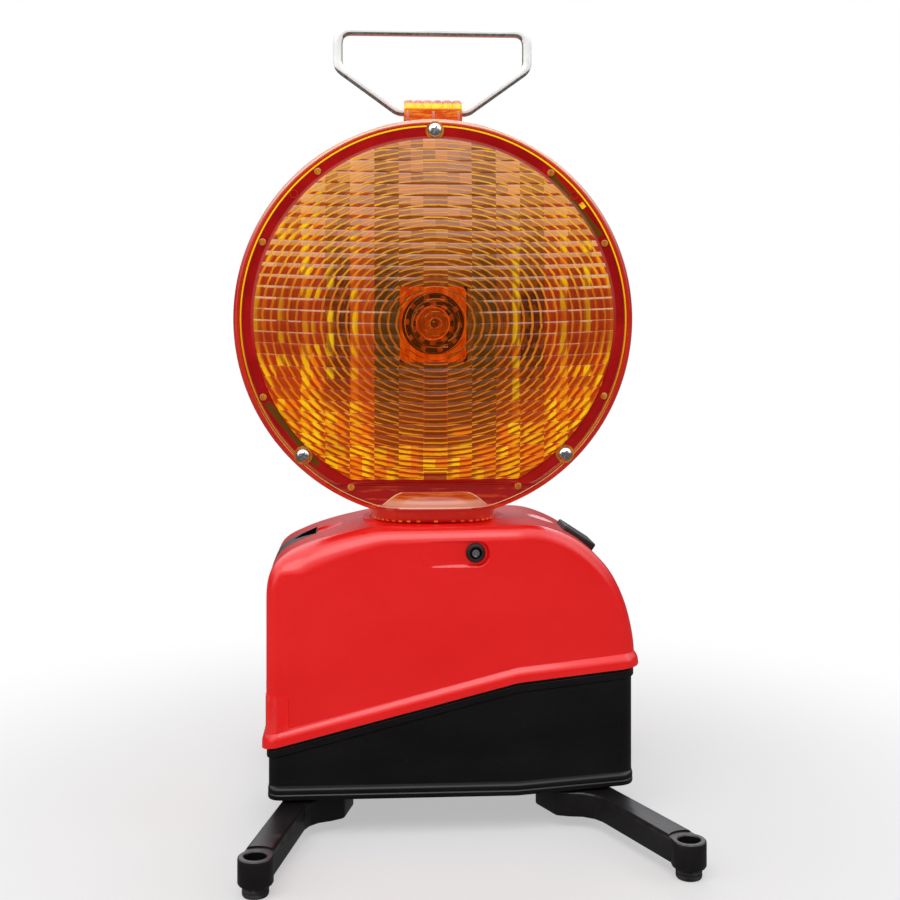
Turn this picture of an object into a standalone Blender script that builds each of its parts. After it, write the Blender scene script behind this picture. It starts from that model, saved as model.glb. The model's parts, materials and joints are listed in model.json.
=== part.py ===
"""Portable round flashing warning lamp on a battery box with swing-out feet.

Sizes are in millimetres and are scaled to metres when a mesh is made.
Places are measured from the ground point under the axis of the lamp head.
The root empty then shifts everything along X, so that the finished lamp's
origin is the bottom centre of its own box. +Z is up, the front lens faces -Y,
+X is to the right of someone who looks at the front lens.
"""

import math

import bmesh
import bpy
from mathutils import Matrix, Vector

for old in list(bpy.data.objects):
    bpy.data.objects.remove(old, do_unlink=True)

# ---------------------------------------------------------------- driving dimensions
MM = 0.001
GAP = 0.3  # clearance between neighbouring pieces
ENDS = ((-1, "front"), (1, "rear"))  # sign of y, name

# Lamp head
HEAD_Z = 245.0
HOUSING_R = 98.0
NECK_R = 30.5
SPIGOT_R = 20.0

# Carrying handle
HANDLE_AXIS_Z = 349.5
WIRE_R = 2.25
WIRE_BORE_R = WIRE_R + 0.4

# Battery box: plan outline, tapering to the right of BREAK_X
CASE_LEFT = -79.5
CASE_RIGHT = 96.5
CASE_HALF = 41.0
CASE_HALF_RIGHT = 29.2
BREAK_X = 38.0
CASE_BOTTOM = 18.5
WALL = 2.2
HOOD_OUT = 1.2  # how far the hood stands outside the case
LIP_OUT = 3.2
HOOD_WALL = 2.6
HOOD_TOP = 146.0
HOOD_LEFT = CASE_LEFT - HOOD_OUT

# Seam between case and hood
SEAM_LEFT_Z = 43.0
SEAM_BREAK_Z = 72.6
SEAM_RIGHT_Z = 76.0

# Hinge of the hood at the right end, along Y
HINGE_X = 99.2
HINGE_Z = 74.6
HINGE = (HINGE_X, 0, HINGE_Z)
HINGE_R = 2.4
HINGE_PIN_R = 1.1

# Legs
LEG_LENGTH = 85.5
LEG_OFFSET = 5.5  # foot axis outwards from the pivot
BOSS_R = 7.7
LEG_PIVOTS = {  # x, y, outward swing in degrees
    "front_left": (-57.0, -19.0, 12.0),
    "front_right": (68.0, -19.0, 24.0),
    "rear_left": (-57.0, 19.0, 12.0),
    "rear_right": (68.0, 19.0, 24.0),
}

# Fittings of case and hood
STUD_Z = 51.0  # stud in the case's right end face
LOCK_Z = 62.5  # lock head in the hood's left end face
KEY_X, KEY_Z = 18.4, 134.0  # key switch
KEY_PIVOT = (KEY_X, -CASE_HALF, KEY_Z)
KEY_FACE = -CASE_HALF - HOOD_OUT + 0.9  # y of the key pocket's floor
# Push button in the right shoulder, tipped with the slope
BUTTON_AT = Vector((72.5, 0, 135.6))
BUTTON_TURN = Matrix.Rotation(math.radians(33.0), 4, "Y")
BUTTON_HALF_LENGTH = 9.0
BUTTON_HALF_WIDTH = 12.0


# ---------------------------------------------------------------- materials
def make_material(name, colour, roughness, metallic=0.0):
    made = bpy.data.materials.new(name)
    made.use_nodes = True
    shader = made.node_tree.nodes["Principled BSDF"]
    shader.inputs["Base Color"].default_value = (*colour, 1.0)
    shader.inputs["Roughness"].default_value = roughness
    shader.inputs["Metallic"].default_value = metallic
    made.diffuse_color = (*colour, 1.0)
    return made


RED = make_material("signal_red", colour=(0.62, 0.02, 0.015), roughness=0.35)
BLACK = make_material("case_black", colour=(0.02, 0.018, 0.02), roughness=0.45)
AMBER = make_material("amber_lens", colour=(0.85, 0.33, 0.02), roughness=0.08)
RING_RED = make_material("housing_red_orange", colour=(0.75, 0.09, 0.02), roughness=0.15)
LEG_GREY = make_material("leg_charcoal", colour=(0.05, 0.045, 0.05), roughness=0.5)
RUBBER = make_material("rubber", colour=(0.02, 0.02, 0.02), roughness=0.8)
ZINC = make_material("zinc_steel", colour=(0.72, 0.73, 0.74), roughness=0.3, metallic=1.0)
STEEL = make_material("bright_steel", colour=(0.6, 0.6, 0.62), roughness=0.25, metallic=1.0)
BOARD = make_material("circuit_board", colour=(0.03, 0.16, 0.05), roughness=0.5)
DARK = make_material("dark_plastic", colour=(0.04, 0.03, 0.03), roughness=0.5)
BATTERY_BLUE = make_material("battery_sleeve", colour=(0.05, 0.1, 0.3), roughness=0.4)
CABLE_BLACK = make_material("cable_black", colour=(0.03, 0.03, 0.03), roughness=0.6)


# ---------------------------------------------------------------- frames and objects
FRAMES = {}  # name: (empty, its place in lamp coordinates)


def add_frame(name, at, parent=None):
    made = bpy.data.objects.new(name, None)
    bpy.context.scene.collection.objects.link(made)
    base = Vector((0, 0, 0))
    if parent:
        made.parent, base = FRAMES[parent]
    made.location = (Vector(at) - base) * MM
    made.empty_display_size = 0.02
    FRAMES[name] = (made, Vector(at))
    return made


def build_frames():
    root = add_frame("case_origin", (0, 0, 0))
    # The right feet reach further from the head's axis than the ring does on
    # the left, so the middle of the box lies between those two.
    pivot_x, _, swing = LEG_PIVOTS["front_right"]
    swing = math.radians(swing)
    foot_x = pivot_x + LEG_OFFSET * math.cos(swing) + LEG_LENGTH * math.sin(swing)
    root.location.x = -(foot_x + BOSS_R - HOUSING_R) / 2 * MM
    add_frame("hood_axis", HINGE, "case_origin")
    add_frame("head_axis", (0, 0, HOOD_TOP), "hood_axis")
    add_frame("handle_axis", (0, 0, HANDLE_AXIS_Z), "head_axis")


def link_object(name, shape, parent, pivot):
    """Turns a bmesh in millimetres into an object whose origin is at pivot."""
    frame, frame_at = FRAMES[parent]
    pivot = frame_at if pivot is None else Vector(pivot)
    bmesh.ops.recalc_face_normals(shape, faces=shape.faces)
    bmesh.ops.translate(shape, verts=shape.verts, vec=-pivot)
    bmesh.ops.scale(shape, verts=shape.verts, vec=(MM, MM, MM))
    mesh = bpy.data.meshes.new(name)
    shape.to_mesh(mesh)
    shape.free()
    obj = bpy.data.objects.new(name, mesh)
    bpy.context.scene.collection.objects.link(obj)
    obj.parent = frame
    obj.location = (pivot - frame_at) * MM
    return obj


def add(name, shape, look, parent="case_origin", pivot=None):
    """A visible piece; without a pivot its origin is its parent's."""
    obj = link_object(name, shape, parent, pivot)
    obj.data.shade_smooth()
    obj.data.set_sharp_from_angle(angle=math.radians(35))
    obj.data.materials.append(look)
    return obj


def add_helper(name, shape):
    """A hidden wire object for boolean steps."""
    obj = link_object(name, shape, "case_origin", None)
    obj.hide_render = True
    obj.display_type = "WIRE"
    return obj


def boolean_step(obj, name, tool, operation):
    step = obj.modifiers.new(name, "BOOLEAN")
    step.operation = operation
    step.solver = "EXACT"
    step.object = tool


def cut(obj, name, shape):
    boolean_step(obj, name, add_helper(name, shape), "DIFFERENCE")


def join(obj, name, shape):
    boolean_step(obj, name, add_helper(name, shape), "UNION")


def bevel(obj, width, segments, angle=35.0):
    step = obj.modifiers.new("edges", "BEVEL")
    step.width = width * MM
    step.segments = segments
    step.limit_method = "ANGLE"
    step.angle_limit = math.radians(angle)


# ---------------------------------------------------------------- solids
def moved(shape, matrix, offset):
    """Transforms a shape about the origin, then shifts it."""
    bmesh.ops.transform(shape, verts=shape.verts, matrix=matrix)
    bmesh.ops.translate(shape, verts=shape.verts, vec=offset)
    return shape


def box(x0, x1, y0, y1, z0, z1):
    shape = bmesh.new()
    bmesh.ops.create_cube(shape, size=1.0)
    bmesh.ops.scale(shape, verts=shape.verts, vec=(x1 - x0, y1 - y0, z1 - z0))
    middle = ((x0 + x1) / 2, (y0 + y1) / 2, (z0 + z1) / 2)
    bmesh.ops.translate(shape, verts=shape.verts, vec=middle)
    return shape


def bridge(shape, ring, following):
    """Quads between two rings of vertices."""
    count = len(ring)
    for i in range(count):
        j = (i + 1) % count
        shape.faces.new((ring[i], ring[j], following[j], following[i]))


def loft(loops, close=False):
    """Quads between loops of equal count, with both ends capped or joined."""
    shape = bmesh.new()
    rings = [[shape.verts.new(point) for point in loop] for loop in loops]
    for ring, following in zip(rings, rings[1:]):
        bridge(shape, ring, following)
    if close:
        bridge(shape, rings[-1], rings[0])
    else:
        shape.faces.new(rings[0])
        shape.faces.new(list(reversed(rings[-1])))
    return shape


def turned(profile, sides, axis="Z", centre=(0, 0, 0)):
    """Revolves (radius, height) pairs; a profile from radius 0 to radius 0
    makes a solid with flat ends, one off the axis makes a ring."""
    solid = profile[0][0] == 0
    angles = [2 * math.pi * i / sides for i in range(sides)]

    def point(radius, height, angle):
        across, along = radius * math.cos(angle), radius * math.sin(angle)
        return {
            "Z": (across, along, height),
            "Y": (across, height, along),
            "X": (height, across, along),
        }[axis]

    stations = profile[1:-1] if solid else profile
    loops = [[point(radius, height, a) for a in angles] for radius, height in stations]
    shape = loft(loops, close=not solid)
    bmesh.ops.translate(shape, verts=shape.verts, vec=centre)
    return shape


def rod(radius, start, end, sides, axis="Z", centre=(0, 0, 0)):
    profile = [(0, start), (radius, start), (radius, end), (0, end)]
    return turned(profile, sides, axis, centre)


def pulled(outline, y0, y1):
    """A prism along Y over an outline of (x, z) points."""
    return loft([[(x, y, z) for x, z in outline] for y in (y0, y1)])


def level(outline, height):
    """Lifts a plan outline to a height, or to a function of x."""
    return [(x, y, height(x) if callable(height) else height) for x, y in outline]


def slab(outline, bottom, top):
    return loft([level(outline, bottom), level(outline, top)])


def pipe(path, radius, sides):
    """A round wire swept along a list of points."""
    points = [Vector(point) for point in path]
    loops = []
    up = None
    for i, point in enumerate(points):
        ahead = points[min(i + 1, len(points) - 1)] - points[max(i - 1, 0)]
        ahead.normalize()
        if up is None:
            up = Vector((0, 1, 0)) if abs(ahead.y) < 0.9 else Vector((1, 0, 0))
        side = ahead.cross(up).normalized()
        up = side.cross(ahead).normalized()
        loops.append(
            [
                point
                + side * (radius * math.cos(2 * math.pi * k / sides))
                + up * (radius * math.sin(2 * math.pi * k / sides))
                for k in range(sides)
            ]
        )
    return loft(loops)


def coil(centre, start_r, end_r, bottom, top, turns, wire, steps):
    """A helical spring of square-section wire, with so many steps per turn."""
    path = []
    count = int(turns * steps)
    for i in range(count + 1):
        part = i / count
        angle = 2 * math.pi * turns * part
        radius = start_r + (end_r - start_r) * part
        path.append(
            (
                centre[0] + radius * math.cos(angle),
                centre[1] + radius * math.sin(angle),
                bottom + wire + (top - bottom - 2 * wire) * part,
            )
        )
    return pipe(path, wire, sides=4)


# ---------------------------------------------------------------- outlines
def rectangle(x0, x1, y0, y1):
    return [(x0, y0), (x1, y0), (x1, y1), (x0, y1)]


def arc(radius, degrees, centre=(0, 0)):
    """Points on a circle at the given angles."""
    return [
        (
            centre[0] + radius * math.cos(math.radians(a)),
            centre[1] + radius * math.sin(math.radians(a)),
        )
        for a in degrees
    ]


def rounded(corners, radii, segments):
    """A polygon with each corner rounded to its radius; 0 keeps it sharp."""
    out = []
    count = len(corners)
    for i, corner in enumerate(corners):
        here, radius = Vector(corner), radii[i]
        if radius <= 0:
            out.append(tuple(here))
            continue
        back = (Vector(corners[i - 1]) - here).normalized()
        ahead = (Vector(corners[(i + 1) % count]) - here).normalized()
        half = back.angle(ahead) / 2
        reach = radius / math.tan(half)
        centre = here + (back + ahead).normalized() * (radius / math.sin(half))
        start, end = here + back * reach - centre, here + ahead * reach - centre
        turn = start.angle_signed(end)
        for k in range(segments + 1):
            cosine = math.cos(-turn * k / segments)
            sine = math.sin(-turn * k / segments)
            out.append(
                (
                    centre.x + cosine * start.x - sine * start.y,
                    centre.y + sine * start.x + cosine * start.y,
                )
            )
    return out


def plan(out, out_front=None):
    """Plan outline of the battery box, pushed out on all sides, or by another
    amount at front and back."""
    out_front = out if out_front is None else out_front
    half = CASE_HALF + out_front
    half_right = CASE_HALF_RIGHT + out_front
    left, right = CASE_LEFT - out, CASE_RIGHT + out
    left_r, right_r = max(6.0 + out, 1.0), max(8.0 + out, 1.0)
    corners = [
        (left, -half), (BREAK_X, -half), (right, -half_right),
        (right, half_right), (BREAK_X, half), (left, half),
    ]
    return rounded(corners, [left_r, 0, right_r, right_r, 0, left_r], segments=4)


SEAM_RISE = (SEAM_BREAK_Z - SEAM_LEFT_Z) / (BREAK_X - CASE_LEFT)
SEAM_RISE_RIGHT = (SEAM_RIGHT_Z - SEAM_BREAK_Z) / (CASE_RIGHT - BREAK_X)


def seam(x):
    """Height of the seam, held level beyond the case's ends."""
    x = max(CASE_LEFT, min(x, CASE_RIGHT))
    if x <= BREAK_X:
        part = (x - CASE_LEFT) / (BREAK_X - CASE_LEFT)
        return SEAM_LEFT_Z + part * (SEAM_BREAK_Z - SEAM_LEFT_Z)
    part = (x - BREAK_X) / (CASE_RIGHT - BREAK_X)
    return SEAM_BREAK_Z + part * (SEAM_RIGHT_Z - SEAM_BREAK_Z)


def from_seam(offset):
    """Height function that follows the seam at an offset."""
    return lambda x: seam(x) + offset


# ---------------------------------------------------------------- battery case
FLANGE_TOP = 24.5
CASE_KNUCKLE_HALF = 8.0  # along Y


def build_case():
    """Open tray with a flange at the foot and a slanting rim."""
    case = add(
        "battery_case",
        loft(
            [
                level(plan(-0.6, 0.4), CASE_BOTTOM),
                level(plan(0.3, 1.9), CASE_BOTTOM + 1.0),
                level(plan(0.3, 2.0), FLANGE_TOP - 1.2),
                level(plan(0.1, 1.3), FLANGE_TOP - 0.2),
                level(plan(0.0), FLANGE_TOP + 0.3),
                level(plan(0.0), from_seam(-5.6)),
                level(plan(1.0), from_seam(-5.0)),
                level(plan(1.0), from_seam(-1.8)),
                level(plan(-WALL), from_seam(-1.8)),
                level(plan(-WALL), CASE_BOTTOM + 2.5),
            ]
        ),
        BLACK,
    )
    knuckle = arc(HINGE_R, range(-60, 121, 30), (HINGE_X, HINGE_Z)) + [
        (CASE_RIGHT + 0.6, HINGE_Z - 1.2),
        (CASE_RIGHT - 0.8, HINGE_Z - 3.0),
        (CASE_RIGHT - 0.8, HINGE_Z - 9.0),
    ]
    join(case, "case_knuckle", pulled(knuckle, -CASE_KNUCKLE_HALF, CASE_KNUCKLE_HALF))
    # bore for the hinge pin
    cut(case, "battery_case_tool_1", rod(HINGE_PIN_R + GAP, -20, 20, 16, "Y", HINGE))
    for leg_name, (pivot_x, pivot_y, _) in LEG_PIVOTS.items():
        bolt_hole = rod(3.3, 10, 30, 16, centre=(pivot_x, pivot_y, 0))
        cut(case, f"bolt_hole_{leg_name}", bolt_hole)
    cut(case, "stud_hole", rod(2.4, 80, 110, 16, "X", (0, 0, STUD_Z)))
    # room for the hood's knuckles
    for sign, end in ENDS:
        near, far = sorted((sign * 8.2, sign * 16.4))
        cut(case, f"knuckle_seat_{end}", rod(2.8, near, far, 20, "Y", HINGE))


def build_case_gasket():
    loops = [
        level(plan(-0.2), from_seam(-1.5)),
        level(plan(-0.2), from_seam(-0.3)),
        level(plan(-2.0), from_seam(-0.3)),
        level(plan(-2.0), from_seam(-1.5)),
    ]
    add("case_gasket", loft(loops, close=True), RUBBER)


def build_case_stud():
    profile = [  # radius, x
        (0, 92.5), (2.1, 92.5), (2.1, 96.8), (5.4, 96.8), (5.4, 97.9), (4.2, 98.5), (0, 98.5),
    ]
    add("case_stud", turned(profile, 20, "X", (0, 0, STUD_Z)), STEEL)


# ---------------------------------------------------------------- hood
# Outside of the hood in the XZ plane, from the left foot over the top to the
# right foot: x, z
HOOD_PROFILE = [
    (HOOD_LEFT, 20.0), (HOOD_LEFT, 112.0), (-80.3, 119.0), (-79.0, 124.5),
    (-76.4, 129.2), (-72.0, 132.9), (-66.0, 136.0), (-58.0, 139.0),
    (-48.0, 141.8), (-37.0, 144.2), (-28.0, HOOD_TOP - 0.3), (-20.0, HOOD_TOP),
    (44.0, HOOD_TOP), (51.0, 145.2), (58.0, 143.0), (65.0, 139.8),
    (72.0, 135.4), (79.0, 129.4), (85.0, 122.4), (90.0, 113.6),
    (94.0, 103.2), (96.8, 91.0), (97.7, 82.0), (97.7, 20.0),
]
LEFT_SHOULDER = slice(2, 8)  # points of HOOD_PROFILE under the shoulder cover


def inward(points, distance):
    """Moves an open polyline to its right-hand side."""
    out = []
    for i, (x, z) in enumerate(points):
        before = Vector(points[max(i - 1, 0)])
        after = Vector(points[min(i + 1, len(points) - 1)])
        ahead = (after - before).normalized()
        out.append((x + ahead.y * distance, z - ahead.x * distance))
    return out


def hood_block(profile, shrink):
    """The hood's outline in the XZ plane pulled along Y, with its right part
    slanting back at front and rear."""
    half = CASE_HALF + HOOD_OUT - shrink
    half_right = CASE_HALF_RIGHT + HOOD_OUT - shrink
    right = CASE_RIGHT + HOOD_OUT
    shape = pulled(profile, -half - 5, half + 5)
    bmesh.ops.recalc_face_normals(shape, faces=shape.faces)
    for sign in (-1, 1):
        slanted = Vector((half - half_right, sign * (right - BREAK_X), 0)).normalized()
        for place, normal in (
            ((0, sign * half, 0), (0, sign, 0)),
            ((BREAK_X, sign * half, 0), slanted),
        ):
            section = bmesh.ops.bisect_plane(
                shape,
                geom=shape.verts[:] + shape.edges[:] + shape.faces[:],
                plane_co=place,
                plane_no=normal,
                clear_outer=True,
                dist=1e-5,
            )["geom_cut"]
            edges = [part for part in section if isinstance(part, bmesh.types.BMEdge)]
            bmesh.ops.holes_fill(shape, edges=edges, sides=0)
    return shape


def on_slope(shape):
    """Puts a shape made about the origin onto the right shoulder, with its x
    along the slope and its z outwards."""
    return moved(shape, BUTTON_TURN, BUTTON_AT)


def button_box(clearance, bottom, top):
    length, width = BUTTON_HALF_LENGTH + clearance, BUTTON_HALF_WIDTH + clearance
    return on_slope(box(-length, length, -width, width, bottom, top))


def shoulder_strip(depth, height, half_width):
    """A curved plate along the left shoulder, from a depth below the hood's
    outside to a height above it."""
    upper = inward(HOOD_PROFILE, -height)[LEFT_SHOULDER]
    lower = inward(HOOD_PROFILE, depth)[LEFT_SHOULDER]
    return pulled(upper + lower[::-1], -half_width, half_width)


def below_seam():
    """A block that fills everything under the seam."""
    left, right, bottom = -120.0, 140.0, -20.0
    ridge = BREAK_X + 0.37  # clear of the vertical edges at BREAK_X
    outline = [
        (left, bottom),
        (left, SEAM_LEFT_Z + SEAM_RISE * (left - CASE_LEFT)),
        (ridge, SEAM_BREAK_Z + SEAM_RISE_RIGHT * 0 + SEAM_RISE * (ridge - BREAK_X)),
        (right, SEAM_RIGHT_Z + SEAM_RISE_RIGHT * (right - CASE_RIGHT)),
        (right, bottom),
    ]
    return pulled(outline, -80.0, 80.0)


def build_hood():
    """Shell with a lip along the seam and a seat ring for the neck."""
    hood = add("hood", hood_block(HOOD_PROFILE, 0.0), RED, "hood_axis")
    bevel(hood, 5.0, segments=3)
    lip = [
        level(plan(HOOD_OUT - 1.4), from_seam(-3.0)),
        level(plan(LIP_OUT), from_seam(-3.0)),
        level(plan(LIP_OUT), from_seam(4.6)),
        level(plan(LIP_OUT - 0.7), from_seam(5.8)),
        level(plan(HOOD_OUT - 1.4), from_seam(7.6)),
    ]
    join(hood, "hood_lip", loft(lip, close=True))
    seat = [  # radius, z
        (31.4, 140.0), (34.6, 140.0), (34.2, 147.0), (33.6, 147.5), (31.8, 147.5), (31.4, 147.0),
    ]
    join(hood, "neck_seat", turned(seat, 32))

    inside = hood_block(inward(HOOD_PROFILE, HOOD_WALL), HOOD_WALL)
    cavity = add_helper("hood_cavity", inside)
    bevel(cavity, 3.2, segments=2)
    boolean_step(hood, "hollow", cavity, "DIFFERENCE")
    cut(hood, "seam_cut", below_seam())

    cut(hood, "neck_hole", rod(SPIGOT_R + 0.5, 120, 160, 32))
    pocket = rounded(rectangle(-6.5, 24.0, 128.4, 139.6), [5.4] * 4, 4)
    cut(hood, "key_pocket", pulled(pocket, -60.0, KEY_FACE))
    cut(hood, "key_hole", rod(3.7, -60, -30, 20, "Y", (KEY_X, 0, KEY_Z)))
    cut(hood, "lock_hole", rod(3.4, -100, -70, 16, "X", (0, 0, LOCK_Z)))
    add_hood_knuckles(hood)
    cut(hood, "button_hole", button_box(0.4, -12, 12))
    cut(hood, "cover_recess", shoulder_strip(depth=1.3, height=6.0, half_width=15.4))


def add_hood_knuckles(hood):
    """Clears the case's knuckle and puts the hood's own on either side of it."""
    room_half = CASE_KNUCKLE_HALF + 0.4
    room = box(HINGE_X - 3.4, 120, -room_half, room_half, 60, HINGE_Z + 3.3)
    cut(hood, "knuckle_room", room)
    outline = arc(HINGE_R, range(-150, 31, 30), (HINGE_X, HINGE_Z)) + [
        (CASE_RIGHT + 2.9, HINGE_Z + 5.0),
        (CASE_RIGHT, HINGE_Z + 5.0),
    ]
    for sign, end in ENDS:
        near, far = sorted((sign * 8.5, sign * 16.0))
        join(hood, f"hood_knuckle_{end}", pulled(outline, near, far))
    cut(hood, "pin_hole", rod(HINGE_PIN_R + GAP, -20, 20, 16, "Y", HINGE))


# ---------------------------------------------------------------- hood fittings
def build_hinge_pin():
    add("hinge_pin", rod(HINGE_PIN_R, -15.8, 15.8, 12, "Y", HINGE), STEEL, pivot=HINGE)


def build_lock():
    """Round lock head in the left end face, with its cam inside."""
    profile = [  # radius, x
        (0, -83.2), (4.6, -83.2), (5.8, -82.6), (5.8, -81.1),
        (3.0, -81.1), (3.0, -76.6), (0, -76.6),
    ]
    head = turned(profile, 20, "X", (0, 0, LOCK_Z))
    add("hood_lock", head, STEEL, "hood_axis", (HOOD_LEFT, 0, LOCK_Z))
    corners = rectangle(-4.0, 4.0, LOCK_Z - 13.0, LOCK_Z + 4.0)
    outline = rounded(corners, [2.5, 2.5, 3.5, 3.5], 3)  # y, z
    cam = loft([[(x, y, z) for y, z in outline] for x in (-76.3, -75.1)])
    add("lock_cam", cam, ZINC, "hood_axis", (-76, 0, LOCK_Z))


def build_button():
    """Push button with the spring and the seat behind it."""
    button = add("lock_button", button_box(0.0, -2.2, 2.0), DARK, "hood_axis", BUTTON_AT)
    bevel(button, 0.7, segments=2, angle=40)
    spring = coil((0, 0), 3.2, 3.2, -8.7, -4.5, turns=3.0, wire=0.45, steps=7)
    add("button_spring", on_slope(spring), STEEL, "hood_axis", BUTTON_AT)
    # half length along the slope, half width, height out of the slope
    stations = [(11.0, 14.2, -10.6), (11.0, 14.2, -6.0), (9.6, 12.8, -6.0), (9.6, 12.8, -9.0)]
    seat = loft(
        [
            level(rectangle(-length, length, -width, width), height)
            for length, width, height in stations
        ]
    )
    add("button_seat", on_slope(seat), DARK, "hood_axis", BUTTON_AT)


def build_shoulder_cover():
    plate = shoulder_strip(depth=1.0, height=0.9, half_width=15.0)
    cover = add("shoulder_cover", plate, DARK, "hood_axis")
    bevel(cover, 0.5, segments=1, angle=50)


def build_key_switch():
    """Bezel, slotted barrel and body of the key switch in the front face."""

    def add_round(name, profile, sides, look):
        shape = turned(profile, sides, "Y", (KEY_X, 0, KEY_Z))
        return add(name, shape, look, "hood_axis", KEY_PIVOT)

    # profiles: radius, y
    bezel = [
        (4.7, KEY_FACE - 0.3), (4.7, KEY_FACE - 1.0), (3.9, KEY_FACE - 2.8),
        (2.8, KEY_FACE - 2.8), (2.8, KEY_FACE - 0.3),
    ]
    add_round("key_bezel", bezel, 24, DARK)
    barrel_front, barrel_back = KEY_FACE - 2.4, -28.0
    barrel = [(0, barrel_front), (2.5, barrel_front), (2.5, barrel_back), (0, barrel_back)]
    key = add_round("key_barrel", barrel, 20, STEEL)
    slot = box(KEY_X - 0.5, KEY_X + 0.5, KEY_FACE - 4, KEY_FACE - 1.2, KEY_Z - 1.7, KEY_Z + 1.7)
    cut(key, "key_slot", slot)
    body = [(2.8, -39.0), (5.6, -39.0), (5.6, -24.0), (2.8, -24.0)]
    add_round("key_switch_body", body, 20, DARK)


# ---------------------------------------------------------------- batteries and boards
BATTERY_HALF = 66.5 / 2
BATTERY_BOTTOM = 21.4
BATTERY_TOP = 116.5
BATTERY_X = (-36.2, 31.0)
POLES = {"plus": 0.0, "minus": 21.0}  # offset from the battery's axis in x and y


def build_batteries():
    """Two square batteries, each with two conical springs on top."""
    half = BATTERY_HALF
    for index, middle in enumerate(BATTERY_X, 1):
        outline = rounded(rectangle(middle - half, middle + half, -half, half), [5.0] * 4, 4)
        cell = add(
            f"battery_{index}",
            slab(outline, BATTERY_BOTTOM, BATTERY_TOP),
            BATTERY_BLUE,
            pivot=(middle, 0, BATTERY_BOTTOM),
        )
        bevel(cell, 1.2, segments=2, angle=50)
        for pole, offset in POLES.items():
            at = (middle + offset, offset)
            spring = coil(
                at, 6.0, 2.6, BATTERY_TOP + GAP, BATTERY_TOP + 9.4, turns=2.5, wire=0.6, steps=8
            )
            add(f"battery_{index}_spring_{pole}", spring, ZINC, pivot=(*at, BATTERY_TOP))


def build_boards():
    contact = rounded(rectangle(-52.0, 54.0, -25.0, 29.0), [3.0] * 4, 2)
    add("contact_board", slab(contact, 126.8, 128.4), BOARD, "hood_axis")
    flasher = rounded(rectangle(28.0, 56.0, -20.0, 24.0), [1.5] * 4, 1)
    add("flasher_board", slab(flasher, 130.2, 131.8), BOARD, "hood_axis")


# ---------------------------------------------------------------- lamp head
HEAD = (0, 0, HEAD_Z)
LENS_R, LENS_CHORD = 94.5, 81.0
OPTIC_R, OPTIC_CHORD = 88.5, 78.0
SCREW_PLACES = arc(92.0, (90.0, 226.0, 314.0), (0, HEAD_Z))  # x, z

# Front half of the ring's section, mirrored for the rear: radius, y
HOUSING_PROFILE_FRONT = [
    (HOUSING_R, -18.0), (97.4, -20.6), (96.2, -22.0), (94.9, -22.0),
    (94.9, -18.6), (87.0, -18.6), (87.0, -16.2), (94.2, -16.2),
]
# Spigot through the hood and the neck above it: radius, z
NECK_PROFILE = [
    (0, 130.4), (SPIGOT_R, 130.4), (SPIGOT_R, 147.8), (NECK_R - 0.6, 147.8),
    (NECK_R, 148.6), (NECK_R, 157.0), (NECK_R - 2.0, 160.0), (0, 160.0),
]


def cut_circle(radius, chord, count=44):
    """A circle in the lens plane whose lower part is cut by a chord, as
    (x, z) pairs about the head's centre."""
    out = []
    for i in range(count):
        angle = 2 * math.pi * (i + 0.5) / count
        sine = math.sin(angle)
        above_chord = sine >= 0 or radius * -sine <= chord
        distance = radius if above_chord else chord / -sine
        out.append((distance * math.cos(angle), distance * sine))
    return out


def at_head(outline, y, scale=1.0):
    return [(x * scale, y, HEAD_Z + z * scale) for x, z in outline]


def cut_screw_holes(obj, radius, name):
    for index, (x, z) in enumerate(SCREW_PLACES, 1):
        cut(obj, f"{name}_{index}", rod(radius, -40, 40, 12, "Y", (x, 0, z)))


def build_housing():
    """Ring with a floor, a shelf, the swivel neck and the handle's knuckle."""
    rear = [(radius, -y) for radius, y in reversed(HOUSING_PROFILE_FRONT)]
    ring = turned(HOUSING_PROFILE_FRONT + rear, 48, "Y", HEAD)
    housing = add("head_housing", ring, RING_RED, "head_axis")
    floor = arc(96.0, range(-122, -57, 8), (0, HEAD_Z))
    join(housing, "housing_floor", pulled(floor, -21.6, 21.6))
    shelf = box(-50, 50, -18.6, 18.6, HEAD_Z - 83.0, HEAD_Z - 77.5)
    join(housing, "housing_shelf", shelf)
    join(housing, "housing_neck", turned(NECK_PROFILE, 32))
    cut(housing, "cable_bore", rod(9.0, 110.0, 176.0, 24))
    block = box(-14.5, 14.5, -6.2, 6.2, HEAD_Z + 95.0, HANDLE_AXIS_Z - 0.2)
    join(housing, "knuckle_block", block)
    bore = rod(WIRE_BORE_R, -30, 30, 20, "X", (0, 0, HANDLE_AXIS_Z))
    cut(housing, "knuckle_bore", bore)
    cut_screw_holes(housing, 1.9, "screw_bore")


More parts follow.
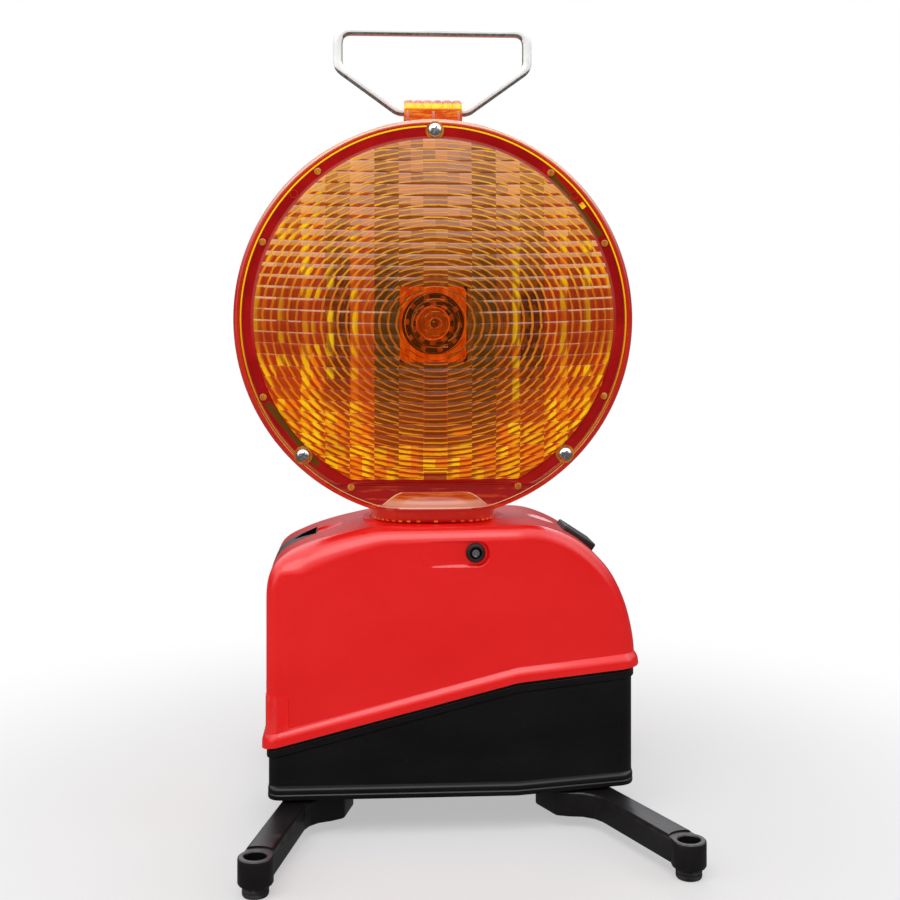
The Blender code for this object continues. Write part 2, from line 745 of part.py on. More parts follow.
def lens_shell(sign):
    """A domed lens with a flat rim: rings from the middle of its inner face,
    round the rim, to the middle of its outer face, closed by two tips."""
    rim, optic = cut_circle(LENS_R, LENS_CHORD), cut_circle(OPTIC_R, OPTIC_CHORD)
    outer_edge, inner_edge, bulge = 24.2, 22.0, 7.0

    def dome(scale, edge):
        return (optic, scale, edge + bulge * (1 - scale * scale))

    stations = [  # outline, scale, distance from the head's middle plane
        *(dome(scale, inner_edge) for scale in (0.25, 0.5, 0.75)),
        (optic, 0.96, 21.6),
        (optic, 0.965, 20.0),
        (rim, 1.0, 20.0),
        (rim, 1.0, 22.3),
        (optic, 1.0, 22.3),
        (optic, 0.985, outer_edge),
        *(dome(scale, outer_edge) for scale in (0.75, 0.5, 0.25)),
    ]
    shape = bmesh.new()
    rings = [
        [shape.verts.new(point) for point in at_head(outline, sign * y, scale)]
        for outline, scale, y in stations
    ]
    for ring, following in zip(rings, rings[1:]):
        bridge(shape, ring, following)
    for ring, edge in ((rings[0][::-1], inner_edge), (rings[-1], outer_edge)):
        tip = shape.verts.new((0, sign * (edge + bulge), HEAD_Z))
        for i, vertex in enumerate(ring):
            shape.faces.new((vertex, ring[(i + 1) % len(ring)], tip))
    return shape


def build_lenses():
    outer, inner = cut_circle(94.0, 80.6), cut_circle(88.0, 77.8)
    for sign, end in ENDS:
        glass = add(f"{end}_lens", lens_shell(sign), AMBER, "head_axis")
        loops = [
            at_head(outer, sign * 18.9),
            at_head(outer, sign * 19.7),
            at_head(inner, sign * 19.7),
            at_head(inner, sign * 18.9),
        ]
        gasket = add(f"{end}_lens_gasket", loft(loops, close=True), RUBBER, "head_axis")
        for piece in (glass, gasket):
            cut_screw_holes(piece, 1.85, f"{piece.name}_hole")


def build_lens_screws():
    """Screws from the front through both lenses, with nuts at the rear."""
    # profiles: radius, y
    screw = [
        (0, -24.9), (1.6, -24.9), (2.9, -24.3), (3.45, -22.7),
        (1.5, -22.7), (1.5, 26.0), (0, 26.0),
    ]
    nut = [(1.8, 22.7), (3.4, 22.7), (3.4, 24.9), (1.8, 24.9)]
    for index, (x, z) in enumerate(SCREW_PLACES, 1):
        at = (x, 0, z)
        add(f"lens_screw_{index}", turned(screw, 16, "Y", at), STEEL, "head_axis", at)
        add(f"screw_nut_{index}", turned(nut, 6, "Y", at), ZINC, "head_axis", at)


def build_swivel():
    """Seal and nut on the spigot, and the cable through it."""
    # profiles: radius, z
    seal = [(21.0, 146.3), (26.0, 146.3), (26.0, 147.5), (21.0, 147.5)]
    add("swivel_seal", turned(seal, 24), RUBBER, "head_axis")
    bore = SPIGOT_R + GAP
    nut = [(bore, 135.4), (26.5, 135.4), (26.5, 142.8), (bore, 142.8)]
    add("swivel_nut", turned(nut, 28), DARK, "head_axis")
    bottom, length, sway, steps = 130.2, 36.8, 2.5, 8
    path = [
        (sway * math.sin(i / steps * math.pi * 2), 0, bottom + length * (i / steps))
        for i in range(steps + 1)
    ]
    add("lamp_cable", pipe(path, 2.4, sides=10), CABLE_BLACK, "head_axis")


def build_light_unit():
    """Post, board and a light to each side, with a long slanting board."""
    post = box(-5, 5, -3, 3, HEAD_Z - 77.1, HEAD_Z - 20.9)
    add("led_post", post, RING_RED, "head_axis")
    board = box(-18, 18, -0.8, 0.8, HEAD_Z - 20.5, HEAD_Z + 20.5)
    add("led_board", board, BOARD, "head_axis")

    # profiles: radius, distance from the light's base
    holder = [(17.0, 0), (17.0, 5.0), (15.6, 6.4), (11.0, 6.4), (8.6, 3.4), (8.6, 0)]
    emitter = [(0, 0), (8.2, 0), (8.2, 7.0), (6.0, 9.4), (2.9, 10.2), (0, 10.2)]
    # the rear light stands further out, behind the sensor board
    for (sign, end), base in zip(ENDS, (1.1, 5.4)):
        for part, profile, sides in (("housing", holder, 24), ("emitter", emitter, 18)):
            placed = [(radius, sign * (base + out)) for radius, out in profile]
            add(f"led_{part}_{end}", turned(placed, sides, "Y", HEAD), AMBER, "head_axis")

    screw = [(0, -11.6), (2.4, -11.6), (2.2, -12.6), (1.2, -13.4), (0, -13.4)]  # radius, y
    add("led_screw", turned(screw, 12, "Y", HEAD), STEEL, "head_axis")
    tilt = Matrix.Rotation(math.radians(-36.0), 4, "Y")
    sensor = moved(box(-84.0, 84.0, -0.8, 0.8, -5.5, 5.5), tilt, (0, 4.1, HEAD_Z))
    add("sensor_board", sensor, BOARD, "head_axis")


# ---------------------------------------------------------------- handle
HANDLE_HALF_WIDTH = 50.0
HANDLE_TOP_Z = 390.0


def bent(points, radius, steps):
    """A polyline with its inner corners rounded by parabolas."""
    out = [points[0]]
    for before, here, after in zip(points, points[1:], points[2:]):
        before, here, after = Vector(before), Vector(here), Vector(after)
        back, ahead = (before - here).normalized(), (after - here).normalized()
        reach = min(
            radius / math.tan(back.angle(ahead) / 2),
            (before - here).length * 0.49,
            (after - here).length * 0.49,
        )
        start, end = here + back * reach, here + ahead * reach
        for k in range(steps + 1):
            t = k / steps
            out.append(tuple(start * (1 - t) ** 2 + here * 2 * t * (1 - t) + end * t * t))
    out.append(points[-1])
    return out


def build_handle():
    """Wire loop whose ends meet in the knuckle on top of the ring."""
    wire_x = HANDLE_HALF_WIDTH - WIRE_R
    right = [  # x, z
        (4.0, HANDLE_AXIS_Z), (17.2, HANDLE_AXIS_Z), (wire_x, 371.5), (wire_x, HANDLE_TOP_Z),
    ]
    path = [(x, 0, z) for x, z in right] + [(-x, 0, z) for x, z in reversed(right)]
    wire = pipe(bent(path, radius=7.0, steps=4), WIRE_R, sides=8)
    add("handle", wire, ZINC, "handle_axis")


def build_handle_clip():
    """Ribbed half tube over the handle's axis."""
    half_length, spans = 14.4, 12
    crest_r, groove = 6.25, 0.55
    angles = [math.radians(a) for a in range(4, 177, 43)]

    def half_ring(x, radius):
        return [
            (x, radius * math.cos(a), HANDLE_AXIS_Z + max(radius * math.sin(a), 0.2))
            for a in angles
        ]

    loops = []
    for k in range(spans + 1):
        x = -half_length + 2 * half_length * k / spans
        outer_r = crest_r - groove * abs(math.cos(math.pi * k / 2))
        loops.append(half_ring(x, outer_r) + half_ring(x, WIRE_BORE_R)[::-1])
    add("handle_clip", loft(loops), AMBER, "head_axis")


# ---------------------------------------------------------------- legs
LEG_TOP = 17.6
LEG_BOTTOM = 5.6
ARM_HALF = 5.5
ARM_OUTER = -LEG_OFFSET - ARM_HALF
ARM_INNER = -LEG_OFFSET + ARM_HALF
ARM_END = -LEG_LENGTH + 3.0

# Plan of a left leg about its pivot, foot towards -Y, outer side towards -X: x, y
LEG_OUTLINE = [
    (-15.5, 9.5), (-15.5, -9.0), (-13.5, -11.5), (ARM_OUTER, -12.5),
    (ARM_OUTER, ARM_END), (ARM_INNER, ARM_END), (ARM_INNER, -27.0),
    (ARM_INNER + 1.4, -22.0), (ARM_INNER + 5.0, -17.0), (ARM_INNER + 10.5, -13.5),
    (15.6, -9.4), (16.0, 8.5), (14.0, 11.5), (-13.5, 12.0),
]
# Profiles: radius, z
BOSS_PROFILE = [
    (0, 4.9), (6.4, 4.9), (BOSS_R, 5.9), (BOSS_R, 16.4), (BOSS_R - 0.5, 16.9), (0, 16.9),
]
FOOT_PROFILE = [
    (0, 0), (4.9, 0), (5.7, 0.8), (5.8, 4.5), (3.0, 4.6), (3.0, 10.4), (2.4, 11.0), (0, 11.0),
]
BOLT_PROFILE = [
    (0, 3.2), (5.0, 3.2), (5.6, 3.8), (5.6, 5.2), (3.0, 5.2), (3.0, 20.7), (0, 20.7),
]


def build_leg(name, pivot_x, pivot_y, swing):
    """Leg with a boss at its end, the rubber foot in it and the pivot bolt."""
    left = "left" in name
    outward = -1 if left else 1
    pivot = (pivot_x, pivot_y, 0)
    frame = f"{name}_leg_axis"
    add_frame(frame, pivot, "case_origin")
    turn = Matrix.Rotation(math.radians(outward * swing), 4, "Z")
    if "rear" in name:
        turn = Matrix.Scale(-1, 4, (0, 1, 0)) @ turn

    outline = LEG_OUTLINE if left else [(-x, y) for x, y in LEG_OUTLINE]
    foot_at = (outward * LEG_OFFSET, -LEG_LENGTH, 0)
    body = moved(slab(outline, LEG_BOTTOM, LEG_TOP), turn, pivot)
    leg = add(f"{name}_leg", body, LEG_GREY, frame)
    bevel(leg, 0.8, segments=1, angle=60)
    join(leg, f"{name}_boss", moved(turned(BOSS_PROFILE, 20, centre=foot_at), turn, pivot))
    for label, radius, bottom, top, sides, centre in (
        ("boss_top", 9.0, 16.9, 30, 12, foot_at),
        ("boss_well", 4.85, 9.6, 30, 16, foot_at),
        ("boss_hole", 3.4, 0, 20, 12, foot_at),
        ("pivot_hole", 3.3, 0, 30, 12, (0, 0, 0)),
    ):
        tool = rod(radius, bottom, top, sides, centre=centre)
        cut(leg, f"{name}_{label}", moved(tool, turn, pivot))

    foot = moved(turned(FOOT_PROFILE, 16, centre=foot_at), turn, pivot)
    add(f"{name}_foot", foot, RUBBER, frame)
    bolt = turned(BOLT_PROFILE, 12, centre=pivot)
    add(f"{name}_pivot_bolt", bolt, ZINC, pivot=pivot)


# ---------------------------------------------------------------- assembly
build_frames()
build_case()
build_case_gasket()
build_case_stud()
build_hood()
build_hinge_pin()
build_lock()
build_button()
build_shoulder_cover()
build_key_switch()
build_batteries()
build_boards()
build_housing()
build_lenses()
build_lens_screws()
build_swivel()
build_light_unit()
build_handle()
build_handle_clip()
for leg_name, (leg_x, leg_y, leg_swing) in LEG_PIVOTS.items():
    build_leg(leg_name, leg_x, leg_y, leg_swing)
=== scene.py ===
"""Looks of a portable round warning lamp: an amber disc on a battery box with
four swing-out legs and a wire handle.

Shapes are written in millimetres from the ground point under the lamp head's
axis: +X right, -Y front, +Z up. AXIS_X is where that axis stands in the
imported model's frame.
"""

import json
import math

import bmesh
import bpy
from mathutils import Matrix, Vector


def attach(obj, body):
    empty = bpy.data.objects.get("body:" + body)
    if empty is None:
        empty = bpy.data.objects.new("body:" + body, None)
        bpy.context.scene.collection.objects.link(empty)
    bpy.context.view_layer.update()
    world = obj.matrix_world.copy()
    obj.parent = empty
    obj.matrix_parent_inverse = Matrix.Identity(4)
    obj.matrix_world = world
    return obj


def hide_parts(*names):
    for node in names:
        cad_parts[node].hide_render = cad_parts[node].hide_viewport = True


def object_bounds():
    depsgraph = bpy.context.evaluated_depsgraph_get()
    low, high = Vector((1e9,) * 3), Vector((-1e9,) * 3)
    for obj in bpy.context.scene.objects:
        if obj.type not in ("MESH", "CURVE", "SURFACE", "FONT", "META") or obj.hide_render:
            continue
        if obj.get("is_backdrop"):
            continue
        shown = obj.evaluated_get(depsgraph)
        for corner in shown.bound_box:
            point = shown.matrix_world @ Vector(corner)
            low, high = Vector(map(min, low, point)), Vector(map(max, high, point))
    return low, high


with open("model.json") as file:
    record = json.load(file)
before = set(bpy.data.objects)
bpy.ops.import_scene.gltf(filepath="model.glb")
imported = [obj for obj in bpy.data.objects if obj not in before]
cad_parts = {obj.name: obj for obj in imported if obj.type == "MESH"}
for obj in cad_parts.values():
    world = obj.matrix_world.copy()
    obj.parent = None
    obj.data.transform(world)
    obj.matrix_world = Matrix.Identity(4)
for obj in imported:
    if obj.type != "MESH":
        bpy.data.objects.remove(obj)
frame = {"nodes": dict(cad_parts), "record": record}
CAD_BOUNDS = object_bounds()

MM = 0.001
AXIS_X = -8.75
HEAD_Z = 245.0
SIDES = ((-1, "front"), (1, "rear"))  # sign along Y

# The optic: outline, Fresnel rings and the pillow facets behind them
OPTIC_R, OPTIC_CHORD = 87.8, 78.0
OPTIC_SINK = 2.2  # the rings' centre lies this far below the disc's
RING_PITCH = 3.0
CELL_W, CELL_H = 11.8, 5.5

# ---------------------------------------------------------------- node graphs


def rgb(red, green, blue):
    """An 8-bit display colour as linear light."""
    return tuple(
        (c / 255 / 12.92) if c <= 10 else ((c / 255 + 0.055) / 1.055) ** 2.4
        for c in (red, green, blue)
    )


class Value:
    """An output in a node graph. Arithmetic on it adds nodes."""

    def __init__(self, graph, socket):
        self.graph = graph
        self.socket = socket

    def math(self, operation, *others, clamp=False):
        return self.graph.math(operation, self, *others, clamp=clamp)

    def __add__(self, other):
        return self.math("ADD", other)

    def __sub__(self, other):
        return self.math("SUBTRACT", other)

    def __rsub__(self, other):
        return self.graph.math("SUBTRACT", other, self)

    def __mul__(self, other):
        return self.math("MULTIPLY", other)

    def __truediv__(self, other):
        return self.math("DIVIDE", other)

    def __abs__(self):
        return self.math("ABSOLUTE")

    def scaled(self, by, plus, clamp=False):
        return self.math("MULTIPLY_ADD", by, plus, clamp=clamp)

    def larger(self, other):
        return self.math("MAXIMUM", other)

    def ramp(self, zero_at, one_at):
        """Smooth change from 0 at the first value to 1 at the second."""
        return self.graph.add(
            "ShaderNodeMapRange",
            {0: self, 1: zero_at, 2: one_at},
            interpolation_type="SMOOTHSTEP",
        )

    def band(self, start, full, fade, end):
        """1 from full to fade, 0 before start and after end."""
        return self.ramp(start, full) * (1.0 - self.ramp(fade, end))

    def mix(self, low, high):
        """The low colour where this is 0, the high one where it is 1."""
        return self.graph.add(
            "ShaderNodeMix", {0: self, 6: low, 7: high}, output=2,
            data_type="RGBA", clamp_factor=True,
        )

    def tint(self, colour, where, share=None):
        """This colour with a share of another laid over it."""
        factor = where if share is None else where * share
        return factor.mix(self, colour)


class Graph:
    """A node tree, emptied, and short ways to fill it."""

    def __init__(self, tree):
        self.tree = tree
        tree.nodes.clear()

    def put(self, socket, value):
        if isinstance(value, Value):
            self.tree.links.new(value.socket, socket)
        elif isinstance(value, tuple) and socket.type == "RGBA":
            socket.default_value = (*value, 1.0)
        else:
            socket.default_value = value

    def add(self, kind, inputs=None, output=0, **props):
        node = self.tree.nodes.new(kind)
        for key, value in props.items():
            setattr(node, key, value)
        for key, value in (inputs or {}).items():
            self.put(node.inputs[key], value)
        return Value(self, node.outputs[output])

    def math(self, operation, *values, clamp=False):
        return self.add(
            "ShaderNodeMath", dict(enumerate(values)), operation=operation, use_clamp=clamp
        )

    def split(self, vector):
        """The X, Y and Z of a vector."""
        x = self.add("ShaderNodeSeparateXYZ", {0: vector})
        return [Value(self, socket) for socket in x.socket.node.outputs]

    def mix_shader(self, factor, first, second):
        return self.add("ShaderNodeMixShader", {0: factor, 1: first, 2: second})

    def end(self, kind, shader):
        self.put(self.tree.nodes.new(kind).inputs[0], shader)


LOOKS = {}
SURFACE_INPUTS = {
    "specular": "Specular IOR Level",
    "coat": "Coat Weight",
    "coat_roughness": "Coat Roughness",
    "metallic": "Metallic",
}


class Look(Graph):
    """A material, kept in LOOKS under its name."""

    def __init__(self, name, base):
        self.material = bpy.data.materials.new(name)
        self.material.use_nodes = True
        self.material.diffuse_color = (*base, 1.0)
        super().__init__(self.material.node_tree)
        self.at = self.add("ShaderNodeTexCoord", output="Object")
        LOOKS[name] = self.material

    def noise(self, scale, detail=2.0, roughness=0.5, stretch=None):
        at = self.at
        if stretch:
            at = self.add("ShaderNodeMapping", {0: at, 3: stretch})
        return self.add(
            "ShaderNodeTexNoise",
            {"Vector": at, "Scale": scale, "Detail": detail, "Roughness": roughness},
        )

    def random(self, x, y):
        at = self.add("ShaderNodeCombineXYZ", {0: x, 1: y})
        return self.add("ShaderNodeTexWhiteNoise", {"Vector": at}, noise_dimensions="3D")

    def bump(self, height, depth, strength, over=None):
        """Relief of a depth in millimetres, over another normal if given."""
        inputs = {"Strength": strength, "Distance": depth * MM, "Height": height}
        if over is not None:
            inputs["Normal"] = over
        return self.add("ShaderNodeBump", inputs)

    def head_place(self):
        """Millimetres right of and above the lamp head's centre."""
        x, _, z = self.split(self.at)
        return x.scaled(1000.0, plus=-AXIS_X), z.scaled(1000.0, plus=-HEAD_Z)

    def height(self):
        """Millimetres above the ground."""
        return self.split(self.at)[2] * 1000.0

    def normal(self):
        return self.split(self.add("ShaderNodeNewGeometry", output="Normal"))

    def edges(self, zero_at, one_at):
        """1 on convex edges, 0 on flats."""
        return self.add("ShaderNodeNewGeometry", output="Pointiness").ramp(zero_at, one_at)

    def facing(self, blend):
        return self.add("ShaderNodeLayerWeight", {0: blend}, output=1)

    def surface(self, base, roughness, normal, painted_glow=None, **more):
        inputs = {"Base Color": base, "Roughness": roughness, "Normal": normal}
        inputs.update({SURFACE_INPUTS[key]: value for key, value in more.items()})
        # painted light: with a glow, the base colour is given off as emission, though the part
        # is no lamp
        if painted_glow is not None:
            inputs["Emission Color"] = base
            inputs["Emission Strength"] = painted_glow
        return self.add("ShaderNodeBsdfPrincipled", inputs)

    def finish(self, shader):
        self.end("ShaderNodeOutputMaterial", shader)


# ---------------------------------------------------------------- materials


def length(x, y):
    return (x * x + y * y).math("SQRT")


def moulded(
    name, colour, roughness, grain=0.45, depth=0.02, coat=0.0, coat_roughness=0.1,
    worn=None, worn_share=0.35, dust=0.06, variation=0.12, specular=0.5, painted_glow=0.0,
):
    """Injection-moulded plastic: grain, slight flow marks, worn edges, fine
    scratches and a little dust. Grain and depth are in millimetres."""
    look = Look(name, colour)
    dark = tuple(c * (1 - variation) for c in colour)
    light = tuple(min(1.0, c * (1 + variation) + 0.004) for c in colour)
    flow = look.noise(scale=14.0, detail=4.0, roughness=0.55, stretch=(1.0, 1.0, 2.2))
    base = flow.ramp(0.3, 0.7).mix(dark, light)
    fine = look.noise(scale=1000.0 / grain, roughness=0.6)
    base = base.tint(light, where=fine.ramp(0.3, 0.75), share=0.10)
    scratches = look.noise(scale=70.0, detail=3.0, roughness=0.6, stretch=(1.0, 3.0, 22.0))
    scratch = scratches.ramp(0.635, 0.665)
    edge = look.edges(0.58, 0.7) * look.noise(scale=160.0, detail=3.0).ramp(0.35, 0.65)
    base = base.tint(worn or light, where=edge, share=worn_share)
    specks = look.noise(scale=420.0, roughness=0.7).ramp(0.66, 0.74)
    base = base.tint((0.55, 0.5, 0.45), where=specks, share=dust)
    rough = flow.scaled(0.05, plus=roughness - 0.025)
    rough = rough.math("ADD", scratch * 0.12 + edge * -0.06, clamp=True)
    normal = look.bump(fine, depth=depth, strength=0.55)
    normal = look.bump(scratch * -1.0, depth=0.02, strength=0.4, over=normal)
    look.finish(look.surface(
        base, rough, normal, painted_glow, specular=specular, coat=coat, coat_roughness=coat_roughness
    ))


def metal(name, colour, roughness, tarnish=None, patches=0.35, pitted=0.5):
    """Plated or polished metal with fine marks and faint tarnish."""
    look = Look(name, colour)
    marks = look.noise(scale=900.0, detail=3.0, roughness=0.6, stretch=(1.0, 1.0, 1.0))
    cloud = look.noise(scale=90.0, detail=4.0, roughness=0.6)
    tarnish = tarnish or tuple(c * 0.55 for c in colour)
    base = (cloud.ramp(0.45, 0.75) * patches).mix(colour, tarnish)
    base = base.tint((0.95, 0.95, 0.93), where=marks.ramp(0.35, 0.7), share=0.18)
    pits = look.noise(scale=700.0, roughness=0.7).ramp(0.68, 0.74)
    base = base.tint(tuple(c * 0.3 for c in colour), where=pits, share=pitted)
    rough = cloud.scaled(0.16, plus=roughness - 0.06).math("ADD", marks * 0.08, clamp=True)
    normal = look.bump(marks, depth=0.006, strength=0.35)
    normal = look.bump(pits * -1.0, depth=0.02, strength=pitted, over=normal)
    look.finish(look.surface(base, rough, normal, metallic=1.0))


def rubber(name, colour, roughness=0.75):
    """Matt black with scuffed edges."""
    look = Look(name, colour)
    cloud = look.noise(scale=120.0, detail=4.0, roughness=0.6)
    fine = look.noise(scale=2600.0, roughness=0.6)
    light = tuple(c + 0.03 for c in colour)
    base = (cloud.ramp(0.4, 0.75) * 0.6).mix(colour, light)
    scuff = look.edges(0.51, 0.58) * look.noise(scale=240.0, detail=3.0).ramp(0.4, 0.7)
    base = base.tint((0.12, 0.11, 0.1), where=scuff, share=0.5)
    rough = cloud.scaled(0.2, plus=roughness - 0.1, clamp=True)
    normal = look.bump(fine, depth=0.03, strength=0.6)
    look.finish(look.surface(base, rough, normal, specular=0.3))


def printed_board():
    """Solder mask over copper tracks, with tinned pads."""
    green = (0.02, 0.12, 0.035)
    look = Look("circuit_board", green)
    cells = look.add(
        "ShaderNodeTexVoronoi", {"Vector": look.at, "Scale": 260.0},
        feature="DISTANCE_TO_EDGE", distance="CHEBYCHEV",
    )
    track = look.math("SUBTRACT", 1.0, cells.ramp(0.05, 0.08), clamp=True)
    base = (track * 0.7).mix(green, (0.05, 0.24, 0.07))
    dots = look.add("ShaderNodeTexVoronoi", {"Vector": look.at, "Scale": 190.0})
    pad = look.math("SUBTRACT", 1.0, dots.ramp(0.13, 0.17), clamp=True)
    base = base.tint((0.7, 0.68, 0.62), where=pad)
    cloud = look.noise(scale=60.0, detail=3.0)
    base = base.tint((0.01, 0.06, 0.02), where=cloud, share=0.25)
    normal = look.bump(track * 0.4 + pad, depth=0.04, strength=0.7)
    look.finish(look.surface(base, cloud.scaled(0.2, plus=0.3), normal, metallic=pad * 0.8))


def sleeve():
    """Blue battery sleeve with a metallic band and a black top."""
    blue = (0.03, 0.07, 0.26)
    look = Look("battery_sleeve", blue)
    z = look.height()
    cloud = look.noise(scale=40.0, detail=3.0)
    base = cloud.ramp(0.35, 0.7).mix(blue, (0.045, 0.1, 0.34))
    band = z.band(94.0, 94.4, 104.0, 104.4)
    base = base.tint((0.62, 0.6, 0.55), where=band)
    base = base.tint((0.03, 0.03, 0.035), where=z.ramp(113.0, 113.6))
    wrinkles = look.noise(scale=220.0, detail=4.0, roughness=0.6, stretch=(1.0, 1.0, 0.35))
    normal = look.bump(wrinkles, depth=0.12, strength=0.35)
    look.finish(look.surface(base, cloud.scaled(0.2, plus=0.25), normal, metallic=band * 0.7))


def optic():
    """Amber optic: Fresnel rings seen through rows of pillow facets. The upper
    half catches the sky, the lower half throws yellow light back."""
    look = Look("amber_lens", rgb(226, 140, 30))
    right, up = look.head_place()
    out = (right * right + up * up) / (OPTIC_R * OPTIC_R)
    up = up + (1.0 - out) * OPTIC_SINK

    # cells of the pillow facets, and the rings as each facet shows them
    cell_x = (right / CELL_W).math("ROUND") * CELL_W
    off_x = right - cell_x
    cell_z = ((up / CELL_H).math("FLOOR") + 0.5) * CELL_H
    off_z = up - cell_z
    chance = look.random(cell_x, cell_z)
    column = look.random(cell_x, 7.0)
    half_column = look.random((right / (CELL_W / 2)).math("FLOOR") * 3.7, cell_z)
    seen_x = off_x.scaled(0.72, plus=cell_x)
    seen_z = off_z.scaled(1.22, plus=cell_z)
    wobble = look.noise(scale=260.0, detail=3.0)
    ring_radius = (wobble - 0.5).scaled(0.9, plus=length(seen_x, seen_z))
    phase = (ring_radius / RING_PITCH).math("FRACT")
    arc = phase.band(0.53, 0.63, 0.79, 0.89)
    fill = phase.band(0.25, 0.42, 0.85, 0.95)
    radius = length(right, up)
    side = abs(right)
    cloud = look.noise(scale=28.0, detail=3.0)
    low = up.ramp(8.0, -52.0)

    # ground colour: brown in the middle, redder to the sides, with painted light making it more
    # orange below and lighter above
    base = cloud.ramp(0.3, 0.7).mix(rgb(58, 26, 8), rgb(98, 44, 10))
    base = base.tint(rgb(160, 62, 14), where=column.ramp(0.2, 0.8), share=0.45)
    base = base.tint(rgb(172, 82, 16), where=wobble.ramp(0.45, 0.65), share=0.4)
    base = base.tint(rgb(184, 68, 12), where=up.ramp(-14.0, -50.0), share=0.6)
    base = base.tint(rgb(196, 106, 26), where=up.ramp(8.0, 46.0), share=0.35)
    tone = look.random(cell_x * 1.7, 3.0)
    olive = tone.ramp(0.62, 0.74) * up.ramp(40.0, 0.0)
    base = base.tint(rgb(88, 58, 10), where=olive, share=0.55)
    orange = tone.ramp(0.36, 0.26) * side.ramp(8.0, 30.0)
    base = base.tint(rgb(206, 70, 10), where=orange, share=0.45)
    redness = side.ramp(26.0, 70.0) * column.ramp(0.25, 0.65) * tone.ramp(0.8, 0.6)
    base = base.tint(rgb(186, 46, 14), where=redness, share=0.7)
    middle = side.ramp(5.6, 5.0) * up.ramp(-4.0, -14.0)
    base = base.tint(rgb(88, 44, 10), where=middle, share=0.6)
    # painted light: golden arcs where the ring edges throw light back, paler towards the top
    golden = chance.mix(rgb(222, 112, 14), rgb(255, 182, 34))
    golden = golden.tint(rgb(208, 106, 20), where=radius.ramp(74.0, 34.0))
    golden = golden.tint(rgb(255, 190, 50), where=up.ramp(6.0, 40.0), share=0.7)
    base = base.tint(golden, where=arc, share=radius.ramp(22.0, 62.0).scaled(0.3, plus=0.66))

    # painted light: bright yellow pillows where the facets throw light back, in the ring outside
    # the dark middle, mostly below
    outer = radius.ramp(46.0, 74.0)
    sides = side.ramp(34.0, 66.0) * up.ramp(66.0, 10.0)
    bright = (outer * low).larger(sides * 0.36)
    bright = bright.larger(up.ramp(-50.0, -74.0) * 0.9)
    shoulders = radius.ramp(58.0, 80.0) * side.ramp(26.0, 46.0) * up.ramp(6.0, 30.0)
    bright = bright.larger(shoulders * 0.5)
    luck = chance * 0.5 + column * 0.5
    chosen = luck.ramp(0.9 - bright, 1.1 - bright * 0.6)
    # place across the facet, 0 on the side nearer the middle and 1 outside
    across = off_x / CELL_W + 0.5
    across = right.math("SIGN").scaled(across - 0.5, plus=0.5)
    lit = fill * chosen * across.ramp(0.08, 0.3).scaled(0.75, plus=0.25)
    base = base.tint(rgb(196, 58, 10), where=(1.0 - fill) * bright, share=0.6)
    yellow = (half_column * 0.6 + chance * 0.4).ramp(0.3, 0.75)
    yellow = yellow.mix(rgb(255, 206, 6), rgb(244, 124, 6))
    base = base.tint(yellow, where=lit, share=0.92)

    # painted light: bright upright strips where the facets turn outward
    strip_at = across.band(0.6, 0.7, 0.9, 0.99)
    strip_on = (column * 0.7 + chance * 0.3).ramp(0.3, 0.55) * side.ramp(30.0, 44.0)
    strip_on = strip_on * abs(up).ramp(84.0, 30.0) * fill.scaled(0.65, plus=0.25)
    strip_colour = chance.ramp(0.3, 0.7).mix(rgb(236, 122, 14), rgb(255, 206, 14))
    base = base.tint(strip_colour, where=strip_at * strip_on, share=0.85)
    dull = abs(up).ramp(26.0, 8.0) * side.ramp(46.0, 66.0)
    base = base.tint(rgb(150, 40, 14), where=dull, share=0.6)

    # sky caught by the rows: nearly whole rows at the top, thin lines halfway
    from_top = (CELL_H / 2 - off_z) / CELL_H
    reach = up.ramp(-16.0, 84.0).math("POWER", 1.15).scaled(0.86, plus=0.05)
    reach = (half_column - 0.5).scaled(0.09, plus=reach)
    sky = 1.0 - (from_top - reach).ramp(-0.06, 0.05)
    sky = sky * up.ramp(-30.0, -8.0) * radius.ramp(20.0, 27.0)
    grey = half_column.mix(rgb(172, 136, 120), rgb(232, 158, 116))
    grey = grey.tint(rgb(150, 104, 72), where=radius.ramp(60.0, 30.0), share=0.5)
    corners = radius.ramp(56.0, 84.0) * side.ramp(14.0, 50.0)
    grey = grey.tint(rgb(246, 184, 92), where=corners, share=0.7)
    grey = grey.tint(rgb(250, 176, 76), where=arc, share=0.7)
    streak = phase.band(0.70, 0.76, 0.80, 0.88)
    grey = grey.tint(rgb(176, 84, 34), where=streak, share=0.65)
    shown = (column * 0.75 + half_column * 0.25).ramp(0.15, 0.8).scaled(0.5, plus=0.34)
    base = base.tint(grey, where=sky, share=shown)
    glint = from_top.ramp(0.16, 0.05) * up.ramp(-12.0, 6.0)
    glint = glint * radius.ramp(20.0, 27.0) * half_column.ramp(0.2, 0.5)
    base = base.tint(rgb(214, 186, 172), where=glint, share=0.5)
    notch = side.ramp(6.0, 5.4) * up.ramp(-73.4, -74.0)
    base = base.tint(rgb(150, 24, 18), where=notch, share=0.9)
    row_edges = 1.0 - abs(abs(off_z) - CELL_H / 2).ramp(0.0, 0.35)
    base = base.tint(rgb(150, 82, 30), where=row_edges * up.ramp(-10.0, 40.0), share=0.35)

    # shape of each facet
    facet_x = off_x / (CELL_W / 2)
    facet_z = off_z / (CELL_H / 2)
    hollow = facet_x * facet_x + facet_z * facet_z * 1.5
    normal = look.bump(hollow * -1.0, depth=0.35, strength=0.5)
    normal = look.bump(phase, depth=0.18, strength=0.35, over=normal)
    glass = look.surface(
        base, cloud.scaled(0.08, plus=0.05), normal,
        painted_glow=0.2, specular=0.2, coat=0.08, coat_roughness=0.06,
    )

